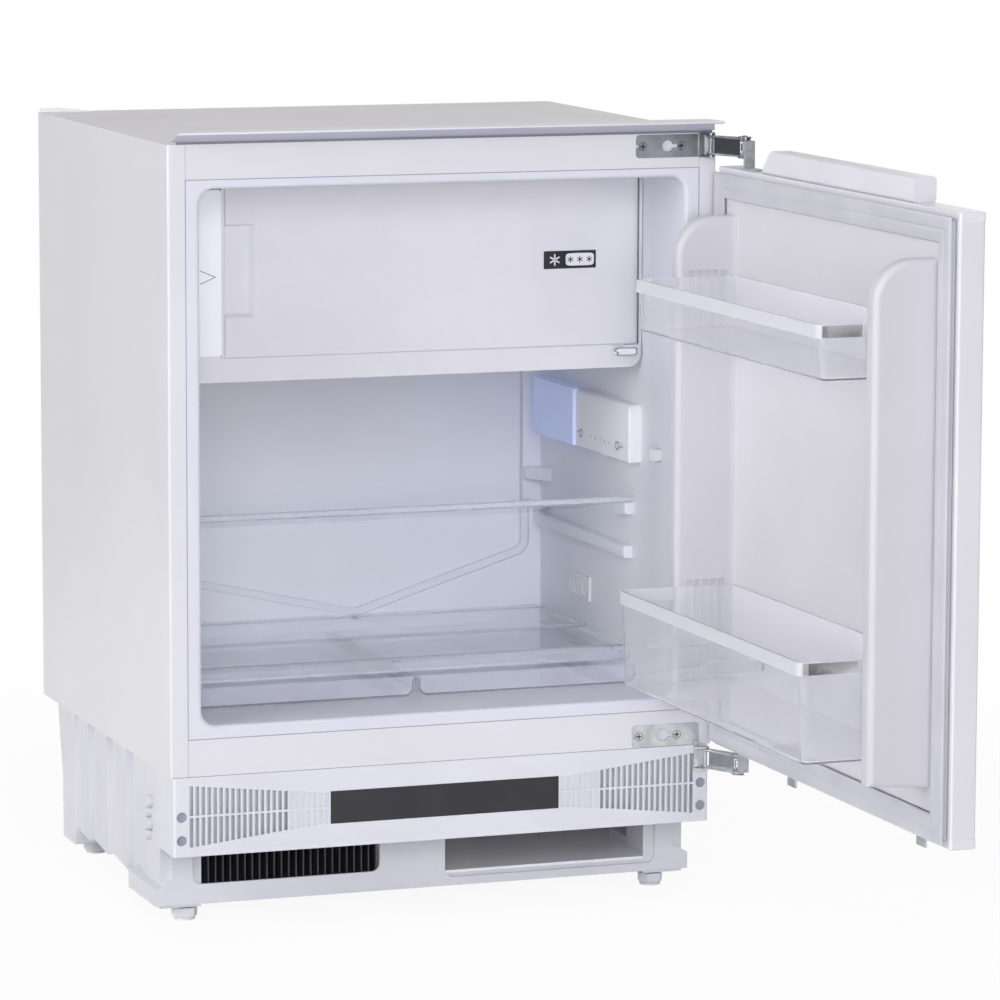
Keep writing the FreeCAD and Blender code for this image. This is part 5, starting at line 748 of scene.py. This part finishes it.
# %% [markdown]
# Round the outer pin sit washers and a tight coil, which give the knuckle its ribbed look. The rivets are profiles
# turned about an upright axis, and the coil is a small circle carried up a helix.


# %% Hinge knuckles
def turned(profile, count=32):
    """Profile points (radius, height) carried round an upright axis and closed at both ends."""
    turn = np.arange(count) * math.tau / count
    radius, height = profile.T[:, :, None]
    return lofted(radius * np.cos(turn), radius * np.sin(turn), height)


def coil(radius, wire, tall, turns, count=12):
    """Helix of a given height whose wire is a circle in the plane of the axis and the radius."""
    along = np.linspace(0, 1, 24 * turns + 1)[:, None]
    angle = along * turns * math.tau
    s = np.arange(count) * math.tau / count
    reach = radius + wire * np.cos(s)
    height = wire + (tall - 2 * wire) * along + wire * np.sin(s)
    return lofted(reach * np.cos(angle), reach * np.sin(angle), height)


COIL_RADIUS, COIL_WIRE, COIL_TURNS, COIL_GAP = 3.7 * MM, 1.15 * MM, 4, 2 * ARM_SHEET + 0.8 * MM
# Radius and height in mm: a washer with a domed rivet head on it.
DOME = [
    (7.4, 0), (7.8, 0.3), (7.8, 0.9), (7.4, 1.2), (3.8, 1.2), (3.6, 1.7), (2.8, 2.1), (1.2, 2.3), (0.2, 2.3),
]
rivet_points, rivet_faces = turned(np.array(DOME) * MM)
wound_points, wound_faces = coil(COIL_RADIUS, COIL_WIRE, ARM_TALL - 2 * COIL_GAP, COIL_TURNS)
rivets, coils = [], []
for arm_z in arm_feet:
    foot = np.array([arms_high.x - ARM_EYE, arms_low.y + ARM_EYE, arm_z])
    rivets.append((rivet_points + foot + ARM_TALL * UP, rivet_faces))
    rivets.append((rivet_points * (1, 1, -1) + foot, rivet_faces))
    coils.append((wound_points + foot + COIL_GAP * UP, wound_faces))
piece("hinge_rivets", rivets, zinc, "hinge_arms", 40)
piece("hinge_coils", coils, zinc, "hinge_arms", 60)

# %% [markdown]
# A plastic strip covers the gap under the worktop. Its section has a nose with a bead, a flat that the worktop
# rests on, and a fall to the top sheet. It is carried from a mitred left end to a right end where only the flat
# goes on to a thin tip, so four copies are enough.

# %% Worktop strip
strip_low, strip_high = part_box("top_strip")
# Section points in mm: steps back from the nose and up from the top sheet.
SECTION = [
    (0, 3), (0, 10), (0.3, 11.3), (1.2, 11.9), (2.5, 12), (39, 12), (41.5, 11.5), (62, 0.4), (63, 0.05),
    (7.5, 0.05), (7.5, 3),
]
MITRE, NOSE_FOOT, NOSE_SHORT, BEAD_DEEP = 8.0 * MM, 3.0 * MM, 13.0 * MM, 2.0 * MM
TIP_SHORT, TIP_THICK, TIP_SLANT = 3.0 * MM, 2.5 * MM, 0.12


def strip_rows(section):
    """Four copies of the section: a mitred left end, the nose's end, the same thinned to the flat, and the tip."""
    back, rise = section.T * MM
    tall = rise.max()
    left = strip_low.x + MITRE * np.clip((rise - NOSE_FOOT) / (tall - NOSE_FOOT), 0, 1) + back
    thin = np.maximum(rise, tall - TIP_THICK)
    tip = strip_high.x - TIP_SLANT * back - TIP_SHORT * (back < BEAD_DEEP)
    nose_end = np.full(len(section), strip_high.x - NOSE_SHORT)
    x, z = np.stack([left, nose_end, nose_end, tip]), np.stack([rise, rise, thin, thin])
    return lofted(x, strip_low.y + back, strip_low.z + z)


strip = piece("worktop_strip", [strip_rows(np.array(SECTION))], abs_strip, "cabinet", 40)
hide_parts("top_strip")

# %% [markdown]
# Where the liner's flange meets the steel front there is a hairline seam. Such dark lines make white pieces
# readable. A flat profile carried round a rectangle gives the seam its square corners.

# %% Flange seam
SEAM_WIDE, SEAM_PROUD = 0.9 * MM, 0.05 * MM
liner_low, liner_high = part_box("inner_liner")
rails_low, rails_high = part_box("front_rails")
half_seam = np.array([SEAM_WIDE / 2, SEAM_WIDE / 2, 0])
seam_low = np.array([liner_low.x, liner_low.z, -liner_low.y]) - half_seam
seam_high = np.array([liner_high.x, liner_high.z, 0]) + half_seam
seam_profile = np.array([(0, 0), (SEAM_WIDE, 0), (SEAM_WIDE, SEAM_PROUD), (0, SEAM_PROUD)])
seam_points, seam_faces = mitred_ring(seam_low, seam_high, seam_profile)
seams = [(seam_points @ np.array([RIGHT, UP, OUT]), seam_faces)]
for x in (liner_low.x, liner_high.x):
    for low, high in ((rails_low.z, liner_low.z), (liner_high.z, rails_high.z)):
        line = rounded_box(0.4 * SEAM_WIDE, high - low, 0.1 * MM, 2)
        seams += laid([line], SEAM_PROUD, (x, liner_low.y, (low + high) / 2))
piece("flange_seam", seams, seam_grey, "cabinet")

# %% [markdown]
# The grille hides its fixings in four round recesses, and grey cups in them are painted shade. Thin sheets behind its
# slots, leaning by a few degrees, carry painted shade for what is seen through the slots. The cups are turned
# profiles, and the sheets are thin slabs.

# %% Grille recess shade and slot shade
grille_low, grille_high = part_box("vent_grille")
grille_middle = (grille_low.z + grille_high.z) / 2
RECESS_INSET, RECESS_PITCH, RECESS_SUNK, RECESS_BACK = 8.6 * MM, 24.5 * MM, 1.5 * MM, 0.1 * MM
CUP_PROFILE = [(0.2, 0), (4.0, 0), (4.6, 0.3), (5.0, 0.9), (5.3, 0.9), (5.3, -0.1), (0.2, -0.1)]
cup_shape = turned(np.array(CUP_PROFILE) * MM)
recess_shades = [
    placed(cup_shape, (x, grille_low.y + RECESS_SUNK - RECESS_BACK, z), RIGHT, UP)
    for x in (grille_low.x + RECESS_INSET, grille_high.x - RECESS_INSET)
    for z in (grille_middle, grille_middle - RECESS_PITCH)
]
piece("grille_recess_shade", recess_shades, seam_grey, "cabinet")
# The grille's plastic made darker: painted shade for the sheets behind the slots.
shaded_plastic = surfaced("shaded_polypropylene", ("#D0CFD9", "#D6D5DF"), 60, (0.8, 0.006), (0.5, 0.6), 0, IOR=1.49)
SLOT_SHADE_FROM, SLOT_SHADE_TO, SLOT_SHADE_TALL, SLOT_SHADE_BEHIND = 126.0 * MM, 288.0 * MM, 74.0 * MM, 11.0 * MM
SHEET_THICK, SLOT_SHADE_LEAN = 1.5 * MM, math.radians(6)
slot_shade_sheet = slab(rounded_box(SLOT_SHADE_TO - SLOT_SHADE_FROM, SLOT_SHADE_TALL, 4 * MM), SHEET_THICK)
slant = np.array([0.0, -math.sin(SLOT_SHADE_LEAN), math.cos(SLOT_SHADE_LEAN)])
slot_shade_at = np.array([(SLOT_SHADE_FROM + SLOT_SHADE_TO) / 2, grille_low.y + SLOT_SHADE_BEHIND, grille_middle])
slot_shades = [placed(slot_shade_sheet, slot_shade_at * (side, 1, 1), RIGHT, slant) for side in (-1, 1)]
piece("grille_slot_shade", slot_shades, shaded_plastic, "cabinet")

# %% [markdown]
# The compartment's floor has its front edge turned down, as a stiffener. It is one more slab, just behind the plinth.

# %% Floor lip
TRAY_LIP, LIP_FROM, LIP_TO, LIP_BEHIND = 8.0 * MM, 15.0 * MM, 262.0 * MM, 5.5 * MM
tray_z, plinth_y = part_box("base_tray")[0].z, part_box("base_front")[0].y
lip = rounded_box(LIP_TO - LIP_FROM, TRAY_LIP, 0.5 * MM, 3)
lip_at = ((LIP_FROM + LIP_TO) / 2, plinth_y + LIP_BEHIND, tray_z - TRAY_LIP / 2)
piece("tray_lip", laid([lip], SHEET_THICK, lip_at), polypropylene, "cabinet")

# %% [markdown]
# The floor and the background are white paper. A camera ray that misses the fridge sees plain white, and the floor
# keeps only a soft shadow that fades out with distance. Gloss mirrors a room instead, darker on the photographer's
# side.


# %% Paper floor
def seen_rays(tree, gloss):
    """1 for rays from the camera and through glass, a given share for rays from gloss, else 0."""
    path = add(tree, "LightPath").outputs
    first = add(tree, "Math", {1: gloss}, {0: path["Is Glossy Ray"]}, operation="MULTIPLY")
    for ray in ("Is Camera Ray", "Is Transmission Ray"):
        first = add(tree, "Math", links={0: first.outputs["Value"], 1: path[ray]}, operation="MAXIMUM")
    return first.outputs["Value"]


def room_level(tree, vector, dark, pale):
    """Brightness of the mirrored room by a vector's y: dark on the photographer's side, pale at the back."""
    y = add(tree, "SeparateXYZ", links={"Vector": vector}).outputs["Y"]
    ends = {"From Min": -0.6, "From Max": 0.2, "To Min": dark, "To Max": pale}
    return add(tree, "MapRange", ends, {"Value": y}).outputs["Result"]


def fade(tree, away, near, far, least=0.0):
    """Share that climbs smoothly from a least value at the near distance to 1 at the far one, in metres."""
    ends = {"From Min": near, "From Max": far, "To Min": least, "To Max": 1.0}
    return add(tree, "MapRange", ends, {"Value": away}, interpolation_type="SMOOTHSTEP").outputs["Result"]


WHITE = (1, 1, 1, 1)
FLOOR_HALF, FADE_NEAR, FADE_FAR, LEAST_WHITE, ROOM_NEAR, ROOM_FAR = 12.0, 0.6, 1.6, 0.92, 1.5, 3.5
mesh = bpy.data.meshes.new("paper_floor")
corners = FLOOR_HALF * np.array([(-1, -1, 0), (1, -1, 0), (1, 1, 0), (-1, 1, 0)])
mesh.from_pydata(corners.tolist(), [], [(0, 1, 2, 3)])
floor = linked("paper_floor", mesh)
material, tree, output, place = new_material("white_paper")
glow = add(tree, "Emission", {"Color": WHITE, "Strength": 1.0}).outputs["Emission"]
matt = add(tree, "BsdfDiffuse", {"Color": linear("#F8F8F8")}).outputs["BSDF"]
away = add(tree, "VectorMath", links={0: place}, operation="LENGTH").outputs["Value"]
seen = {0: seen_rays(tree, 0.7), 1: fade(tree, away, FADE_NEAR, FADE_FAR, LEAST_WHITE)}
share = add(tree, "Math", links=seen, operation="MULTIPLY").outputs["Value"]
paper = add(tree, "MixShader", links={0: share, 1: matt, 2: glow}).outputs["Shader"]
mirrored = {0: add(tree, "LightPath").outputs["Is Glossy Ray"], 1: fade(tree, away, ROOM_NEAR, ROOM_FAR)}
far_gloss = add(tree, "Math", links=mirrored, operation="MULTIPLY").outputs["Value"]
room = add(tree, "Emission", {"Color": WHITE}, {"Strength": room_level(tree, place, 0.1, 0.45)})
whole = add(tree, "MixShader", links={0: far_gloss, 1: paper, 2: room.outputs["Emission"]})
tree.links.new(whole.outputs["Shader"], output.inputs["Surface"])
mesh.materials.append(material)
print("floor fades to white between", FADE_NEAR, "and", FADE_FAR, "m")

# %% [markdown]
# The world gives an even light from all round, as white studio walls do. It is kept low, so that the lamps still
# shape the white box. Camera rays and rays through glass see white, and gloss sees the pale room.

# %% World
WORLD_LEVEL = 0.26
world = bpy.data.worlds.new("white_studio")
bpy.context.scene.world = world
world.use_nodes = True
sky = world.node_tree
sky.nodes.clear()
heading = add(sky, "TexCoord").outputs["Generated"]
gloss = add(sky, "LightPath").outputs["Is Glossy Ray"]
pale = add(sky, "Mix", {2: WORLD_LEVEL}, {0: gloss, 3: room_level(sky, heading, 0.08, 0.41)}, data_type="FLOAT")
sky_level = add(sky, "Mix", {3: 1.0}, {0: seen_rays(sky, 0.0), 2: pale.outputs[0]}, data_type="FLOAT")
shine = add(sky, "Background", {"Color": WHITE}, {"Strength": sky_level.outputs[0]})
add(sky, "OutputWorld", links={"Surface": shine.outputs["Background"]})
print("world", world.name, WORLD_LEVEL)

# %% [markdown]
# Large square lamps give the soft shadows of a product picture: one from the left, one beside the camera, a weak
# one from above, and one from behind for the far sides.

# %% Lamps
MIDDLE = Vector((0.0, -0.2, 0.45))
# Place and size in metres, power in watts, colour.
SOFTBOXES = {
    "softbox_left": ((-4.4, -1.4, 2.0), 2.6, 119, "#FFFEFF"),
    "softbox_front": ((-0.9, -5.0, 1.6), 2.6, 121, "#F8F8FF"),
    "softbox_back": ((3.6, 3.4, 2.4), 2.6, 75, "#FFFEFF"),
    "softbox_top": ((0.0, -0.4, 3.6), 2.0, 18, "#FFFEFF"),
}
for name, (place, size, power, colour) in SOFTBOXES.items():
    lamp = bpy.data.lights.new(name, "AREA")
    lamp.size, lamp.energy, lamp.color = size, power, linear(colour)[:3]
    holder = linked(name, lamp)
    holder.location = place
    holder.rotation_euler = (MIDDLE - Vector(place)).to_track_quat("-Z", "Y").to_euler()
    print(name, power, "W")

# %% [markdown]
# The camera stands where the photographer's did: left of the fridge, a little above it, with a long lens. Its place
# and angles were fitted to the corners of the cabinet in the picture, a square of 1000 pixels.

# %% Camera
FOCAL_PX, PICTURE_PX, SENSOR_MM = 5182.22, 1000.0, 36.0
CAMERA_AT = Vector((-1.7390, -5.2747, 1.2091))
YAW, PITCH, ROLL = (math.radians(a) for a in (19.71, -8.2296, 0.182))
view = bpy.data.cameras.new("camera")
view.sensor_width = SENSOR_MM
view.lens = FOCAL_PX / PICTURE_PX * SENSOR_MM
camera = linked("camera", view)
# A new camera looks straight down: it is rolled, raised to just below the horizon, and turned right.
raised = Matrix.Rotation(math.pi / 2 + PITCH, 4, "X") @ Matrix.Rotation(ROLL, 4, "Z")
camera.matrix_world = Matrix.Translation(CAMERA_AT) @ Matrix.Rotation(-YAW, 4, "Z") @ raised
bpy.context.scene.camera = camera
bpy.context.scene.view_settings.view_transform = "Standard"
print("lens", round(view.lens, 1), "mm")
